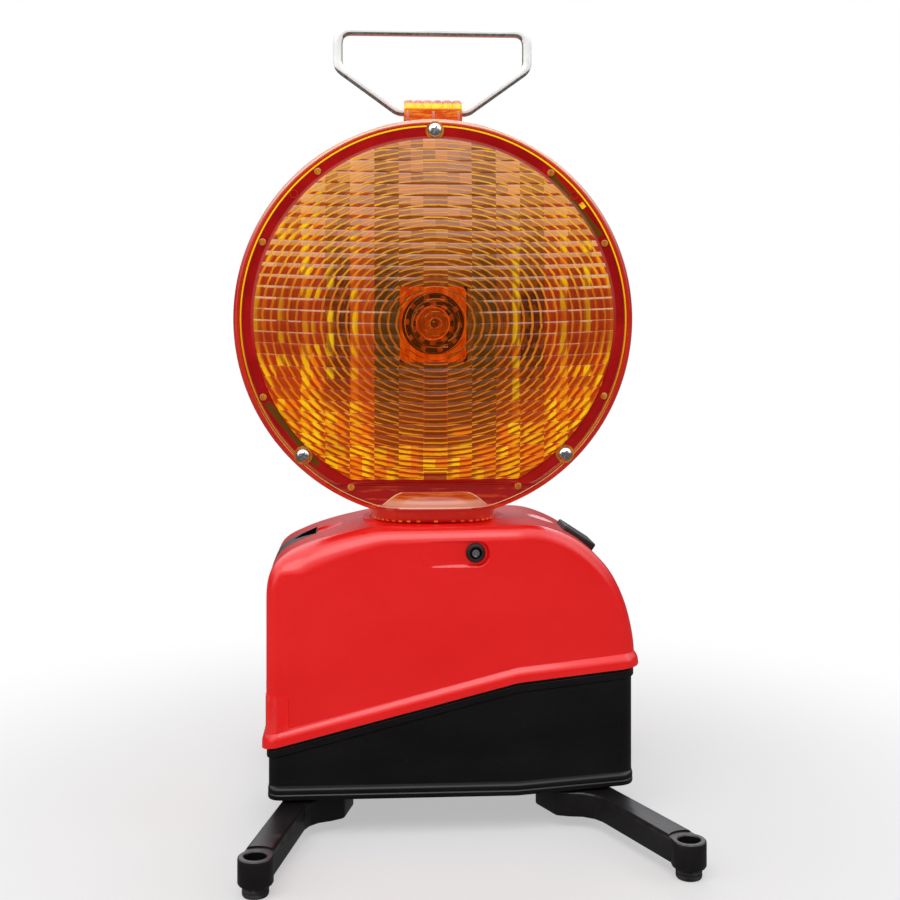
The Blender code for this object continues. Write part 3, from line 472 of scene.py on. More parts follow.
    # clear window in front of the light unit, crossed by two thin rings
    clear = look.add("ShaderNodeBsdfTransparent", {0: rgb(255, 226, 168)})
    window = abs(right + 1.0).ramp(16.6, 16.1) * abs(up + 0.6).ramp(18.6, 18.1)
    thin = abs(ring_radius - 17.6).ramp(0.55, 0.2)
    thin = thin.larger(abs(ring_radius - 11.6).ramp(0.5, 0.2))
    thin = thin * look.noise(scale=55.0).ramp(0.4, 0.55)
    window = window * thin.scaled(-0.85, plus=0.93) * look.facing(0.5).ramp(0.26, 0.12)
    look.finish(look.mix_shader(window, glass, clear))


def flange():
    """Flat edge of the lens: deep red over the housing, with the bright line of
    its own outer edge, its amber partly brightened as painted light, a painted
    highlight along its inner edge, and the dark board ends behind it."""
    look = Look("lens_flange", rgb(180, 28, 26))
    right, up = look.head_place()
    radius = length(right, up)
    cloud = look.noise(scale=60.0, detail=3.0)
    base = cloud.ramp(0.3, 0.7).mix(rgb(158, 14, 16), rgb(182, 20, 20))
    base = base.tint(rgb(188, 30, 18), where=up.ramp(-30.0, -84.0), share=0.5)
    # board ends, square to a line at 39 degrees
    cosine, sine = math.cos(math.radians(39.0)), math.sin(math.radians(39.0))
    along = right * cosine + up * sine
    across = up * cosine - right * sine
    board = abs(abs(along) - 88.9).ramp(1.9, 1.3) * abs(across).ramp(20.5, 18.5)
    base = base.tint(rgb(84, 72, 14), where=board, share=0.85)
    shade = radius.ramp(90.0, 93.0) * up.ramp(70.0, 20.0)
    base = base.tint(rgb(120, 14, 16), where=shade, share=0.25)
    # the lens's own amber outer edge, made brighter towards the top and given off as light:
    # partly painted light
    rim = radius.ramp(93.5, 93.9) * up.ramp(-86.0, -62.0)
    base = base.tint(rgb(250, 196, 14), where=rim, share=up.ramp(-70.0, 60.0).scaled(0.75, 0.25))
    # painted highlight along the inner edge of the flange
    inner = (1.0 - radius.ramp(88.9, 89.5)) * up.ramp(-30.0, 30.0)
    base = base.tint(rgb(214, 120, 104), where=inner, share=0.34)
    normal = look.bump(look.noise(scale=1500.0), depth=0.01, strength=0.3)
    look.finish(look.surface(
        base, cloud.scaled(0.1, plus=0.1), normal,
        painted_glow=rim.scaled(0.25, plus=0.1), specular=0.22,
    ))


def ring_plastic():
    """Translucent red-orange housing: painted highlights where it is seen
    edge-on, more orange towards the neck and the handle's knuckle."""
    look = Look("housing_red_orange", rgb(214, 52, 26))
    right, up = look.head_place()
    cloud = look.noise(scale=30.0, detail=4.0)
    streaks = look.noise(scale=60.0, detail=4.0, roughness=0.6, stretch=(0.5, 1.0, 5.0))
    base = cloud.ramp(0.3, 0.7).mix(rgb(196, 30, 18), rgb(208, 42, 22))
    base = base.tint(rgb(214, 58, 18), where=up.ramp(-60.0, -82.0), share=0.6)
    _, normal_y, normal_z = look.normal()
    depth = abs(look.split(look.at)[1] * 1000.0)
    # flat faces below the chord
    flat = abs(normal_y).ramp(0.9, 0.98)
    below = up.ramp(-79.0, -80.5) * flat
    lines = look.noise(scale=150.0, detail=4.0, roughness=0.6, stretch=(0.4, 1.0, 3.0))
    deep = (lines.ramp(0.54, 0.62) * 0.45).mix(rgb(164, 16, 16), rgb(226, 92, 30))
    base = base.tint(deep, where=below, share=0.95)
    # top of the neck: light comes through it
    upper = normal_z.ramp(0.25, 0.5) * up.ramp(-91.5, -91.0) * depth.ramp(20.5, 21.5)
    through = streaks.ramp(0.4, 0.6).mix(rgb(190, 60, 18), rgb(232, 128, 58))
    through = through.tint(rgb(228, 156, 128), where=up.ramp(-87.6, -88.6))
    through = through.tint(rgb(250, 206, 150), where=depth.ramp(22.5, 22.1))
    base = base.tint(through, where=upper, share=0.97)
    # upright wall of the neck: lighter around the middle of its height, with painted highlights
    # at its two ends
    drum = up.ramp(-98.8, -98.2) * up.ramp(-90.4, -91.0)
    drum = drum * depth.ramp(1.0, 2.0) * normal_z.ramp(0.5, 0.2)
    band = abs(up + 94.2).ramp(3.6, 0.8)
    drum_colour = (band * 0.6).mix(rgb(176, 18, 12), rgb(214, 38, 16))
    drum_ends = abs(right).ramp(27.6, 29.8)
    drum_colour = drum_colour.tint(rgb(236, 104, 44), where=drum_ends, share=0.6)
    base = base.tint(drum_colour, where=drum, share=0.85)
    # knuckle under the handle
    bars = look.noise(scale=420.0, detail=3.0, roughness=0.6, stretch=(0.25, 1.0, 2.2))
    amber = bars.ramp(0.5, 0.58).mix(rgb(228, 84, 14), rgb(250, 150, 20))
    base = base.tint(amber, where=up.ramp(97.0, 99.0))
    # painted highlight where the surface is seen edge-on
    base = base.tint(rgb(240, 90, 50), where=look.facing(0.35).ramp(0.3, 0.95), share=0.3)
    relief = look.noise(scale=900.0) + streaks * 3.0
    look.finish(look.surface(
        base, cloud.scaled(0.16, plus=0.1), look.bump(relief, depth=0.02, strength=0.4),
        painted_glow=0.10, specular=0.45, coat=0.3, coat_roughness=0.05,
    ))


def clear_amber(name, dark, light, painted_glow=0.12):
    """Clear amber plastic in thin sections."""
    look = Look(name, light)
    streaks = look.noise(scale=90.0, detail=4.0, roughness=0.6, stretch=(3.0, 1.0, 1.0))
    base = streaks.ramp(0.35, 0.65).mix(dark, light)
    base = base.tint(dark, where=look.facing(0.4).ramp(0.4, 0.95), share=0.5)
    normal = look.bump(look.noise(scale=1200.0), depth=0.015, strength=0.4)
    look.finish(look.surface(
        base, streaks.scaled(0.14, plus=0.06), normal,
        painted_glow=painted_glow, specular=0.6, coat=0.4, coat_roughness=0.05,
    ))


def clip_amber():
    """Clip over the handle's wire: sky on its crown, bright yellow below."""
    look = Look("clip_amber", rgb(250, 200, 30))
    z = look.height()
    streaks = look.noise(scale=220.0, detail=3.0, roughness=0.6, stretch=(3.0, 1.0, 0.6))
    lower = streaks.ramp(0.4, 0.62).mix(rgb(255, 206, 10), rgb(255, 232, 50))
    crown = streaks.ramp(0.4, 0.6).mix(rgb(206, 128, 120), rgb(226, 160, 140))
    base = lower.tint(crown, where=z.ramp(352.4, 353.4))
    base = base.tint(rgb(236, 140, 26), where=z.ramp(350.6, 350.0))
    normal = look.bump(streaks, depth=0.03, strength=0.4)
    look.finish(look.surface(
        base, streaks.scaled(0.12, plus=0.1), normal, painted_glow=0.3, specular=0.3
    ))


def wire_steel():
    """Bright plated wire with painted light and shade: pale where it faces up or
    out, painted shade underneath and on its inner side, and a painted warm
    reflection of the head."""
    look = Look("wire_steel", (0.8, 0.8, 0.78))
    normal_x, _, normal_z = look.normal()
    x = look.split(look.at)[0]
    outward = (x - AXIS_X * MM).math("SIGN") * normal_x
    marks = look.noise(scale=700.0, detail=3.0, roughness=0.6)
    cloud = look.noise(scale=60.0, detail=3.0)
    pale = cloud.ramp(0.35, 0.7).mix((0.93, 0.93, 0.92), (0.80, 0.81, 0.79))
    dark = marks.ramp(0.4, 0.6).mix(rgb(82, 88, 80), rgb(112, 118, 108))
    # painted shade underneath and on the inner side
    base = pale.tint(dark, where=normal_z.ramp(-0.28, -0.46))
    base = base.tint(dark, where=outward.ramp(-0.72, -0.9))
    # painted warm reflection of the head on the lowest faces
    base = base.tint(rgb(196, 124, 104), where=normal_z.ramp(-0.8, -0.92))
    base = base.tint(rgb(150, 150, 140), where=marks.ramp(0.62, 0.72), share=0.12)
    normal = look.bump(marks, depth=0.002, strength=0.2)
    look.finish(look.surface(
        base, cloud.scaled(0.12, plus=0.3), normal, painted_glow=0.25, metallic=0.1
    ))


def make_looks():
    # The glow given to these looks is painted light: emission from parts that are no lamps.
    wire_steel()
    clear_amber("module_boss", dark=rgb(166, 74, 40), light=rgb(206, 104, 56), painted_glow=0.4)
    clip_amber()
    # the knuckle ribs' pink is a painted highlight of the sky on them
    clear_amber("rib_highlight_pink", dark=rgb(206, 112, 84), light=rgb(226, 140, 116), painted_glow=0.15)
    clear_amber("neck_amber", dark=rgb(200, 60, 20), light=rgb(240, 140, 40), painted_glow=0.15)
    moulded(
        "signal_red", rgb(236, 8, 8), roughness=0.3, grain=0.5, depth=0.012, coat=0.5,
        coat_roughness=0.16, worn=rgb(240, 84, 76), worn_share=0.25, dust=0.01,
        variation=0.02, specular=0.36, painted_glow=0.17,
    )
    moulded(
        "case_black", rgb(15, 12, 14), roughness=0.36, grain=0.5,
        worn=rgb(80, 76, 78), worn_share=0.4, dust=0.012, specular=0.3,
    )
    optic()
    flange()
    ring_plastic()
    moulded(
        "leg_charcoal", rgb(20, 16, 18), roughness=0.3, grain=0.6,
        worn=rgb(92, 88, 90), worn_share=0.45, dust=0.03, specular=0.4,
    )
    rubber("rubber", rgb(30, 28, 30))
    metal(
        "zinc_steel", (0.86, 0.87, 0.84), roughness=0.2, tarnish=(0.7, 0.72, 0.66),
        pitted=0.04, patches=0.25,
    )
    metal("bright_steel", (0.72, 0.71, 0.70), roughness=0.18, patches=0.2)
    printed_board()
    moulded(
        "dark_plastic", rgb(38, 32, 33), roughness=0.45, grain=0.4,
        worn=rgb(84, 74, 74), dust=0.08, specular=0.4,
    )
    sleeve()
    rubber("cable_black", rgb(26, 25, 27), roughness=0.5)
    clear_amber("knuckle_amber", dark=rgb(240, 140, 12), light=rgb(255, 214, 22), painted_glow=0.25)
    clear_amber("module_orange", dark=rgb(200, 76, 20), light=rgb(236, 120, 30), painted_glow=0.7)
    moulded("module_dark", rgb(78, 42, 16), roughness=0.45, grain=0.4, painted_glow=0.35)
    clear_amber("peg_amber", dark=rgb(168, 84, 20), light=rgb(214, 140, 34))
    moulded("pocket_shadow", rgb(6, 4, 4), roughness=0.9, grain=0.4, specular=0.0)


# ---------------------------------------------------------------- mesh tools
MADE = []  # (object, look, body it rides on, CAD nodes it replaces)
TOOLS = []  # cutters, removed once the Booleans are applied


def as_object(name, shape):
    """Turns a bmesh in millimetres into an object in the model's frame."""
    bmesh.ops.recalc_face_normals(shape, faces=shape.faces)
    bmesh.ops.translate(shape, verts=shape.verts, vec=(AXIS_X, 0, 0))
    bmesh.ops.scale(shape, verts=shape.verts, vec=(MM, MM, MM))
    mesh = bpy.data.meshes.new(name)
    shape.to_mesh(mesh)
    shape.free()
    obj = bpy.data.objects.new(name, mesh)
    bpy.context.scene.collection.objects.link(obj)
    return obj


def piece(name, shape, look, body, replaces=(), angle=35.0):
    """A visible object riding on a body, smooth below the given angle."""
    obj = as_object(name, shape)
    obj.data.materials.append(LOOKS[look])
    obj["smooth"] = angle
    MADE.append((obj, look, body, replaces))
    return obj


def boolean(obj, shape, operation):
    tool = as_object(f"{obj.name}_tool_{len(obj.modifiers)}", shape)
    TOOLS.append(tool)
    modifier = obj.modifiers.new("boolean", "BOOLEAN")
    modifier.operation = operation
    modifier.solver = "EXACT"
    modifier.object = tool


def cut(obj, shape):
    boolean(obj, shape, "DIFFERENCE")


def join(obj, shape):
    boolean(obj, shape, "UNION")


def bevel(obj, width, segments=3, angle=35.0):
    modifier = obj.modifiers.new("edges", "BEVEL")
    modifier.width = width * MM
    modifier.segments = segments
    modifier.limit_method = "ANGLE"
    modifier.angle_limit = math.radians(angle)


def smooth(obj, angle):
    obj.data.shade_smooth()
    obj.data.set_sharp_from_angle(angle=math.radians(angle))


def settle():
    """Applies every modifier, removes the tools and hands the pieces over."""
    bpy.context.view_layer.update()
    deps = bpy.context.evaluated_depsgraph_get()
    done = {}
    for obj, *_ in MADE:
        if obj.modifiers:
            done[obj.name] = bpy.data.meshes.new_from_object(obj.evaluated_get(deps))
    for obj, look, body, replaces in MADE:
        if obj.name in done:
            obj.modifiers.clear()
            obj.data = done[obj.name]
            obj.data.materials.clear()
            obj.data.materials.append(LOOKS[look])
            for face in obj.data.polygons:
                face.material_index = 0
        smooth(obj, obj["smooth"])
        if obj.name in ("hood_shell", "case_shell"):
            flat = obj.modifiers.new("flat_faces", "WEIGHTED_NORMAL")
            flat.weight = 80
            flat.keep_sharp = True
        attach(obj, body)
        if replaces:
            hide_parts(*replaces)
    for tool in TOOLS:
        bpy.data.objects.remove(tool, do_unlink=True)


def moved(shape, vec):
    bmesh.ops.translate(shape, verts=shape.verts, vec=vec)
    return shape


def box(x0, x1, y0, y1, z0, z1, shape=None, turn=None):
    """A block, turned about its own centre; added to a shape if one is given."""
    shape = shape or bmesh.new()
    verts = bmesh.ops.create_cube(shape, size=1.0)["verts"]
    bmesh.ops.scale(shape, verts=verts, vec=(x1 - x0, y1 - y0, z1 - z0))
    if turn is not None:
        bmesh.ops.transform(shape, verts=verts, matrix=turn)
    centre = ((x0 + x1) / 2, (y0 + y1) / 2, (z0 + z1) / 2)
    bmesh.ops.translate(shape, verts=verts, vec=centre)
    return shape


def bridge(shape, first, second):
    """Quads between two closed rows of vertices."""
    count = len(first)
    for i in range(count):
        j = (i + 1) % count
        shape.faces.new((first[i], first[j], second[j], second[i]))


def loft(loops, close=False):
    """Skin over loops, capped at both ends or closed on itself."""
    shape = bmesh.new()
    rows = [[shape.verts.new(p) for p in loop] for loop in loops]
    for first, second in zip(rows, rows[1:]):
        bridge(shape, first, second)
    if close:
        bridge(shape, rows[-1], rows[0])
    else:
        shape.faces.new(rows[0])
        shape.faces.new(list(reversed(rows[-1])))
    return shape


def slab(outline, y0, y1):
    """An (x, z) outline pulled along Y."""
    return loft([[(x, y, z) for x, z in outline] for y in (y0, y1)])


def turned(profile, axis="Z", centre=(0, 0, 0), sides=48, shape=None):
    """A (radius, place along axis) profile turned about an axis: solid if both
    ends have radius 0, else a closed ring."""
    solid = profile[0][0] == 0 and profile[-1][0] == 0
    shape = shape or bmesh.new()
    cx, cy, cz = centre

    def point(radius, along, angle):
        p, q = radius * math.cos(angle), radius * math.sin(angle)
        x, y, z = {"Z": (p, q, along), "Y": (p, along, q), "X": (along, p, q)}[axis]
        return (x + cx, y + cy, z + cz)

    angles = [2 * math.pi * i / sides for i in range(sides)]
    inner = profile[1:-1] if solid else profile
    rows = [[shape.verts.new(point(r, along, a)) for a in angles] for r, along in inner]
    for first, second in zip(rows, rows[1:]):
        bridge(shape, first, second)
    if not solid:
        bridge(shape, rows[-1], rows[0])
        return shape
    for row, (_, along) in ((rows[0], profile[0]), (rows[-1], profile[-1])):
        tip = shape.verts.new(point(0, along, 0))
        for i in range(sides):
            shape.faces.new((row[i], row[(i + 1) % sides], tip))
    return shape


def rod(radius, start, end, axis="Z", centre=(0, 0, 0), sides=32):
    return turned([(0, start), (radius, start), (radius, end), (0, end)], axis, centre, sides)


def outward(profile, sign, start=0.0):
    """A (radius, distance) profile laid off from start, towards sign along Y."""
    return [(radius, sign * (start + distance)) for radius, distance in profile]


def rounded(corners, radii, segments=8):
    """A 2D outline with an arc at each corner; radius 0 leaves it sharp."""
    out = []
    count = len(corners)
    for i, corner in enumerate(corners):
        before, after = Vector(corners[i - 1]), Vector(corners[(i + 1) % count])
        here, radius = Vector(corner), radii[i]
        back, ahead = (before - here).normalized(), (after - here).normalized()
        half = back.angle(ahead) / 2
        if radius <= 0:
            out.append(tuple(here))
            continue
        reach = radius / math.tan(half)
        centre = here + (back + ahead).normalized() * (radius / math.sin(half))
        start, end = here + back * reach - centre, here + ahead * reach - centre
        turn = start.angle_signed(end)
        for k in range(segments + 1):
            cosine, sine = math.cos(-turn * k / segments), math.sin(-turn * k / segments)
            x = centre.x + cosine * start.x - sine * start.y
            out.append((x, centre.y + sine * start.x + cosine * start.y))
    return out


def pipe(path, radius, sides):
    """A round bar along an open path."""
    points = [Vector(p) for p in path]
    loops = []
    up = None
    for i, point in enumerate(points):
        ahead = points[min(i + 1, len(points) - 1)] - points[max(i - 1, 0)]
        ahead.normalize()
        if up is None:
            up = Vector((0, 1, 0)) if abs(ahead.y) < 0.9 else Vector((1, 0, 0))
        side = ahead.cross(up).normalized()
        up = side.cross(ahead).normalized()
        angles = [2 * math.pi * k / sides for k in range(sides)]
        loops.append([
            point + side * (radius * math.cos(a)) + up * (radius * math.sin(a)) for a in angles
        ])
    return loft(loops)


def smoothed(points, steps, keep=()):
    """A curve through open polyline points; steps points per span, but spans
    named in keep stay straight."""
    out = []
    count = len(points)
    for i in range(count - 1):
        before = Vector(points[max(i - 1, 0)])
        start, end = Vector(points[i]), Vector(points[i + 1])
        after = Vector(points[min(i + 2, count - 1)])
        if i in keep:
            out.append(tuple(start))
            continue
        reach = (end - start).length
        leave = (end - before).normalized() * reach
        arrive = (after - start).normalized() * reach
        for k in range(steps):
            t = k / steps
            out.append(tuple(
                start * (2 * t**3 - 3 * t**2 + 1)
                + leave * (t**3 - 2 * t**2 + t)
                + end * (3 * t**2 - 2 * t**3)
                + arrive * (t**3 - t**2)
            ))
    out.append(tuple(points[-1]))
    return out


# ---------------------------------------------------------------- battery box
CASE_LEFT, CASE_RIGHT = -79.5, 96.5
CASE_HALF, CASE_HALF_RIGHT = 41.0, 29.2  # half depths: main part, right end
BREAK_X = 38.0  # the sides slant in to the right of this
CASE_BOTTOM = 18.5
WALL, HOOD_WALL = 2.2, 2.6
HOOD_OUT, LIP_OUT = 1.2, 3.2  # how far hood and lip stand out from the case
HOOD_FRONT = -CASE_HALF - HOOD_OUT
HINGE_X, HINGE_Z, HINGE_R, PIN_R = 99.2, 74.6, 2.4, 1.1
LOCK_Z, STUD_Z = 62.5, 51.0

# The seam between case and hood climbs to the right in two straight runs
SEAM_LEFT, RISE_LEFT, RISE_RIGHT = 43.0, 29.6, 3.4

# Pivot x and y of each leg, and its swing outward in degrees
LEG_PIVOTS = {
    "front_left": (-57.0, -19.0, 12.0),
    "front_right": (68.0, -19.0, 24.0),
    "rear_left": (-57.0, 19.0, 12.0),
    "rear_right": (68.0, 19.0, 24.0),
}
PIVOT_R = 3.3


def left_run(x):
    return SEAM_LEFT + (x - CASE_LEFT) / (BREAK_X - CASE_LEFT) * RISE_LEFT


def right_run(x):
    return SEAM_LEFT + RISE_LEFT + (x - BREAK_X) / (CASE_RIGHT - BREAK_X) * RISE_RIGHT


def seam(x):
    """Height of the seam."""
    x = max(CASE_LEFT, min(x, CASE_RIGHT))
    return left_run(x) if x <= BREAK_X else right_run(x)


def plan(out, out_front=None):
    """The case from above, grown sideways by out and to front and rear by
    out_front."""
    out_front = out if out_front is None else out_front
    main, right = CASE_HALF + out_front, CASE_HALF_RIGHT + out_front
    left, far = CASE_LEFT - out, CASE_RIGHT + out
    r_left, r_right = max(6.0 + out, 1.0), max(8.0 + out, 1.0)
    return rounded(
        [(left, -main), (BREAK_X, -main), (far, -right), (far, right), (BREAK_X, main),
         (left, main)],
        [r_left, 0, r_right, r_right, 0, r_left],
    )


def level(outline, z):
    return [(x, y, z) for x, y in outline]


def along_seam(out, rise):
    return [(x, y, seam(x) + rise) for x, y in plan(out)]


def hinge_rod(radius, y0, y1, sides):
    return rod(radius, y0, y1, "Y", (HINGE_X, 0, HINGE_Z), sides)


def hinge_arc(first, last):
    """Arc round the hinge, in degrees."""
    angles = [math.radians(a) for a in range(first, last + 1, 15)]
    return [(HINGE_X + HINGE_R * math.cos(a), HINGE_Z + HINGE_R * math.sin(a)) for a in angles]


# Foot of the case: growth sideways, growth to front and rear, z
CASE_FOOT = [
    (-0.9, 0.1, CASE_BOTTOM), (0.0, 1.5, CASE_BOTTOM + 0.35), (0.3, 1.95, CASE_BOTTOM + 1.1),
    (0.3, 2.0, 21.0), (0.05, 1.55, 21.5), (0.25, 1.9, 22.0), (0.25, 1.9, 23.4),
    (0.1, 1.4, 24.2), (0.0, 0.3, 24.7), (0.0, 0.0, 25.4),
]
# Rim of the case and lip of the hood: growth, height from the seam
CASE_RIM = [(0.0, -5.8), (0.75, -5.2), (1.0, -4.8), (1.0, -2.1), (0.8, -1.8), (-WALL, -1.8)]
HOOD_LIP = [
    (HOOD_OUT - 1.4, -3.0), (LIP_OUT - 0.5, -3.0), (LIP_OUT, -2.5), (LIP_OUT, 2.2),
    (LIP_OUT - 0.12, 3.2), (LIP_OUT - 0.42, 4.2), (LIP_OUT - 0.9, 5.1),
    (LIP_OUT - 1.5, 5.9), (HOOD_OUT + 0.12, 6.7), (HOOD_OUT - 1.4, 7.6),
]


def build_case():
    loops = [level(plan(out, out_front), z) for out, out_front, z in CASE_FOOT]
    loops += [along_seam(out, rise) for out, rise in CASE_RIM]
    loops.append(level(plan(-WALL), CASE_BOTTOM + 2.5))
    case = piece("case_shell", loft(loops), "case_black", "case", ["battery_case"])
    arm = hinge_arc(-60, 120) + [
        (CASE_RIGHT + 0.6, HINGE_Z - 1.2),
        (CASE_RIGHT - 0.8, HINGE_Z - 3.0),
        (CASE_RIGHT - 0.8, HINGE_Z - 9.0),
    ]
    join(case, slab(arm, -8.0, 8.0))
    cut(case, hinge_rod(PIN_R + 0.3, -20, 20, 20))
    for x, y, _ in LEG_PIVOTS.values():
        cut(case, rod(PIVOT_R, 10, 30, "Z", (x, y, 0), 24))
    cut(case, rod(2.4, 80, 110, "X", (0, 0, STUD_Z), 20))
    # room for the hood's two hinge arms
    cut(case, hinge_rod(2.8, -16.4, -8.2, 24))
    cut(case, hinge_rod(2.8, 8.2, 16.4, 24))


# ---------------------------------------------------------------- hood
# The hood from the front: x, z, from the lower left over the top
PROFILE = [
    (-80.7, 20.0), (-80.7, 112.0), (-80.3, 119.0), (-79.0, 124.5), (-76.4, 129.2),
    (-72.0, 132.9), (-66.0, 136.0), (-58.0, 139.0), (-48.0, 141.8), (-37.0, 144.2),
    (-28.0, 145.7), (-20.0, 146.0), (44.0, 146.0), (51.0, 145.2), (58.0, 143.0),
    (65.0, 139.8), (72.0, 135.4), (79.0, 129.4), (85.0, 122.4), (90.0, 113.6),
    (94.0, 103.2), (96.8, 91.0), (97.7, 82.0), (97.7, 20.0),
]
OUTLINE = smoothed(PROFILE, 3, keep=(0, 11, 22))
HOOD_TOP = 146.0

# Collar round the neck's hole in the hood: radius, z
COLLAR = [
    (31.4, 140.0), (35.4, 140.0), (35.3, 146.05), (34.4, 146.3), (33.2, 146.42),
    (31.8, 146.42), (31.4, 146.2),
]
NECK_BORE = 20.5
KEY_X, KEY_Z = 18.4, 134.0
KEY_FACE = HOOD_FRONT + 1.4
# Where the lock button sits and how the hood slopes there
BUTTON_PLACE = Matrix.Translation((72.5, 0, 135.6)) @ Matrix.Rotation(
    math.radians(33.0), 4, "Y"
)


def inward(points, distances):
    """An open outline moved inward, by one distance or one per point."""
    if not isinstance(distances, list):
        distances = [distances] * len(points)
    out = []
    for i, (x, z) in enumerate(points):
        before = Vector(points[max(i - 1, 0)])
        after = Vector(points[min(i + 1, len(points) - 1)])
        ahead = (after - before).normalized()
        out.append((x + ahead.y * distances[i], z - ahead.x * distances[i]))
    return out


def shoulder(x):
    """How much rounder than elsewhere the hood's edges are on the left shoulder."""
    up = min(max((x + 81.0) / 16.0, 0.0), 1.0)
    down = min(max((-6.0 - x) / 62.0, 0.0), 1.0)
    return 7.0 * up * up * (3 - 2 * up) * down


def hood_solid(points, radius, shrink=0.0, segments=9):
    """The hood's outline pulled along Y with rounded front and rear edges and
    the right part slanting back."""
    half, half_right = CASE_HALF + HOOD_OUT - shrink, CASE_HALF_RIGHT + HOOD_OUT - shrink
    far = CASE_RIGHT + HOOD_OUT

    def face(x):
        if x <= BREAK_X:
            return half
        return half + (half_right - half) * (x - BREAK_X) / (far - BREAK_X)

    # a point on the flat top, and later one below it, where the face breaks
    split = 1 + max(
        i for i, (x, z) in enumerate(points) if x < BREAK_X and z > HOOD_TOP - 1.0 - shrink
    )
    points = points[:split] + [(BREAK_X, HOOD_TOP - shrink)] + points[split:]
    radii = [radius + (shoulder(x) if z > 100.0 else 0.0) for x, z in points]
    rows = []
    for k in range(segments + 1):
        t = math.pi / 2 * k / segments
        ring = inward(points, [r * (1 - math.cos(t)) for r in radii])
        ring[split] = (BREAK_X, ring[split][1])
        ring.append((BREAK_X, points[0][1]))
        rows.append([
            (x, face(x) - r * (1 - math.sin(t)), z)
            for (x, z), r in zip(ring, radii + [radius])
        ])
    shape = bmesh.new()
    front = [[shape.verts.new((x, -y, z)) for x, y, z in row] for row in rows]
    rear = [[shape.verts.new(p) for p in row] for row in rows]
    for stack in (front, rear):
        for first, second in zip(stack, stack[1:]):
            bridge(shape, first, second)
        last = stack[-1]
        shape.faces.new(last[: split + 1] + [last[-1]])
        shape.faces.new(last[split:])
    bridge(shape, front[0], rear[0])
    return shape


def left_pad():
    """Raised band round the hood's left end."""
    ends = (q for q in plan(HOOD_OUT + 0.35) if q[0] < -70.0)
    around = sorted(ends, key=lambda q: math.atan2(q[1], -q[0] - 60.0))
    front, rear = HOOD_FRONT, -HOOD_FRONT
    outline = [(-69.4, front + 1.0), (-69.9, front - 0.35)] + around
    outline += [(-69.9, rear + 0.35), (-69.4, rear - 1.0)]
    return loft([level(outline, 46.6), level(outline, 67.0)])


def below_seam():
    """Everything under the seam, past the hood on all sides."""
    ridge = BREAK_X + 0.37
    outline = [
        (-120.0, -20.0), (-120.0, left_run(-120.0)), (ridge, left_run(ridge)),
        (140.0, right_run(140.0)), (140.0, -20.0),
    ]
    return slab(outline, -80.0, 80.0)


def key_pocket():
    """Pocket in the front face, deeper to the right."""

    def loop(grow, y):
        left, right = -6.5 - grow, 24.0 + grow
        low, high = 128.4 - grow, 139.2 + grow * 0.5
        corners = [(left, low), (right, low), (right, high), (left, high)]
        return [(x, y(x), z) for x, z in rounded(corners, [5.2 + 0.7 * grow] * 4)]

    return loft([
        loop(1.5, lambda x: -60.0),
        loop(1.5, lambda x: HOOD_FRONT - 0.02),
        loop(0.9, lambda x: HOOD_FRONT + 0.06 + 0.25 * (x + 9.0) / 33.0),
        loop(0.0, lambda x: HOOD_FRONT + 0.16 + 1.7 * (x + 6.5) / 30.5),
    ])


def on_slope(*extent):
    """A box in the button's frame: along the slope, across, outward."""
    shape = box(*extent)
    bmesh.ops.transform(shape, verts=shape.verts, matrix=BUTTON_PLACE)
    return shape


def shoulder_strip(inner, outer, half):
    """A strip over the left shoulder between two depths below its surface."""
    lower = smoothed(inward(PROFILE, inner)[2:8], 4)
    upper = smoothed(inward(PROFILE, outer)[2:8], 4)
    return slab(upper + list(reversed(lower)), -half, half)


def scoop(at, radii, tilt):
    shape = bmesh.new()
    bmesh.ops.create_uvsphere(shape, u_segments=48, v_segments=24, radius=1.0)
    bmesh.ops.scale(shape, verts=shape.verts, vec=radii)
    turn = Matrix.Rotation(math.radians(tilt), 4, "Y")
    bmesh.ops.transform(shape, verts=shape.verts, matrix=turn)
    return moved(shape, at)


def build_hood():
    hood = piece("hood_shell", hood_solid(OUTLINE, 7.0), "signal_red", "hood", ["hood"], 32.0)
    join(hood, loft([along_seam(out, rise) for out, rise in HOOD_LIP], close=True))
    join(hood, turned(COLLAR, sides=72))
    join(hood, left_pad())
    cut(hood, hood_solid(inward(OUTLINE, HOOD_WALL), 3.2, HOOD_WALL, segments=5))
    cut(hood, below_seam())
    cut(hood, rod(NECK_BORE, 120, 160, sides=48))
    cut(hood, key_pocket())
    cut(hood, rod(3.7, -60, -30, "Y", (KEY_X, 0, KEY_Z), 24))
    cut(hood, rod(3.4, -100, -70, "X", (0, 0, LOCK_Z), 24))
    cut(hood, box(HINGE_X - 3.4, 120, -8.4, 8.4, 60, HINGE_Z + 3.3))
    arm = hinge_arc(-150, 30) + [
        (CASE_RIGHT + 2.9, HINGE_Z + 5.0), (CASE_RIGHT + 0.0, HINGE_Z + 5.0)
    ]
    join(hood, slab(arm, -16.0, -8.5))
    join(hood, slab(arm, 8.5, 16.0))
    cut(hood, hinge_rod(PIN_R + 0.3, -20, 20, 20))
    cut(hood, on_slope(-9.4, 9.4, -12.4, 12.4, -12, 12))
    cut(hood, shoulder_strip(1.3, -6.0, 10.4))
    cut(hood, scoop((-56.0, 0.0, 142.6), radii=(13.0, 8.0, 5.4), tilt=-15.0))
    cut(hood, scoop((55.0, 0.0, 147.0), radii=(13.5, 9.0, 4.2), tilt=18.0))


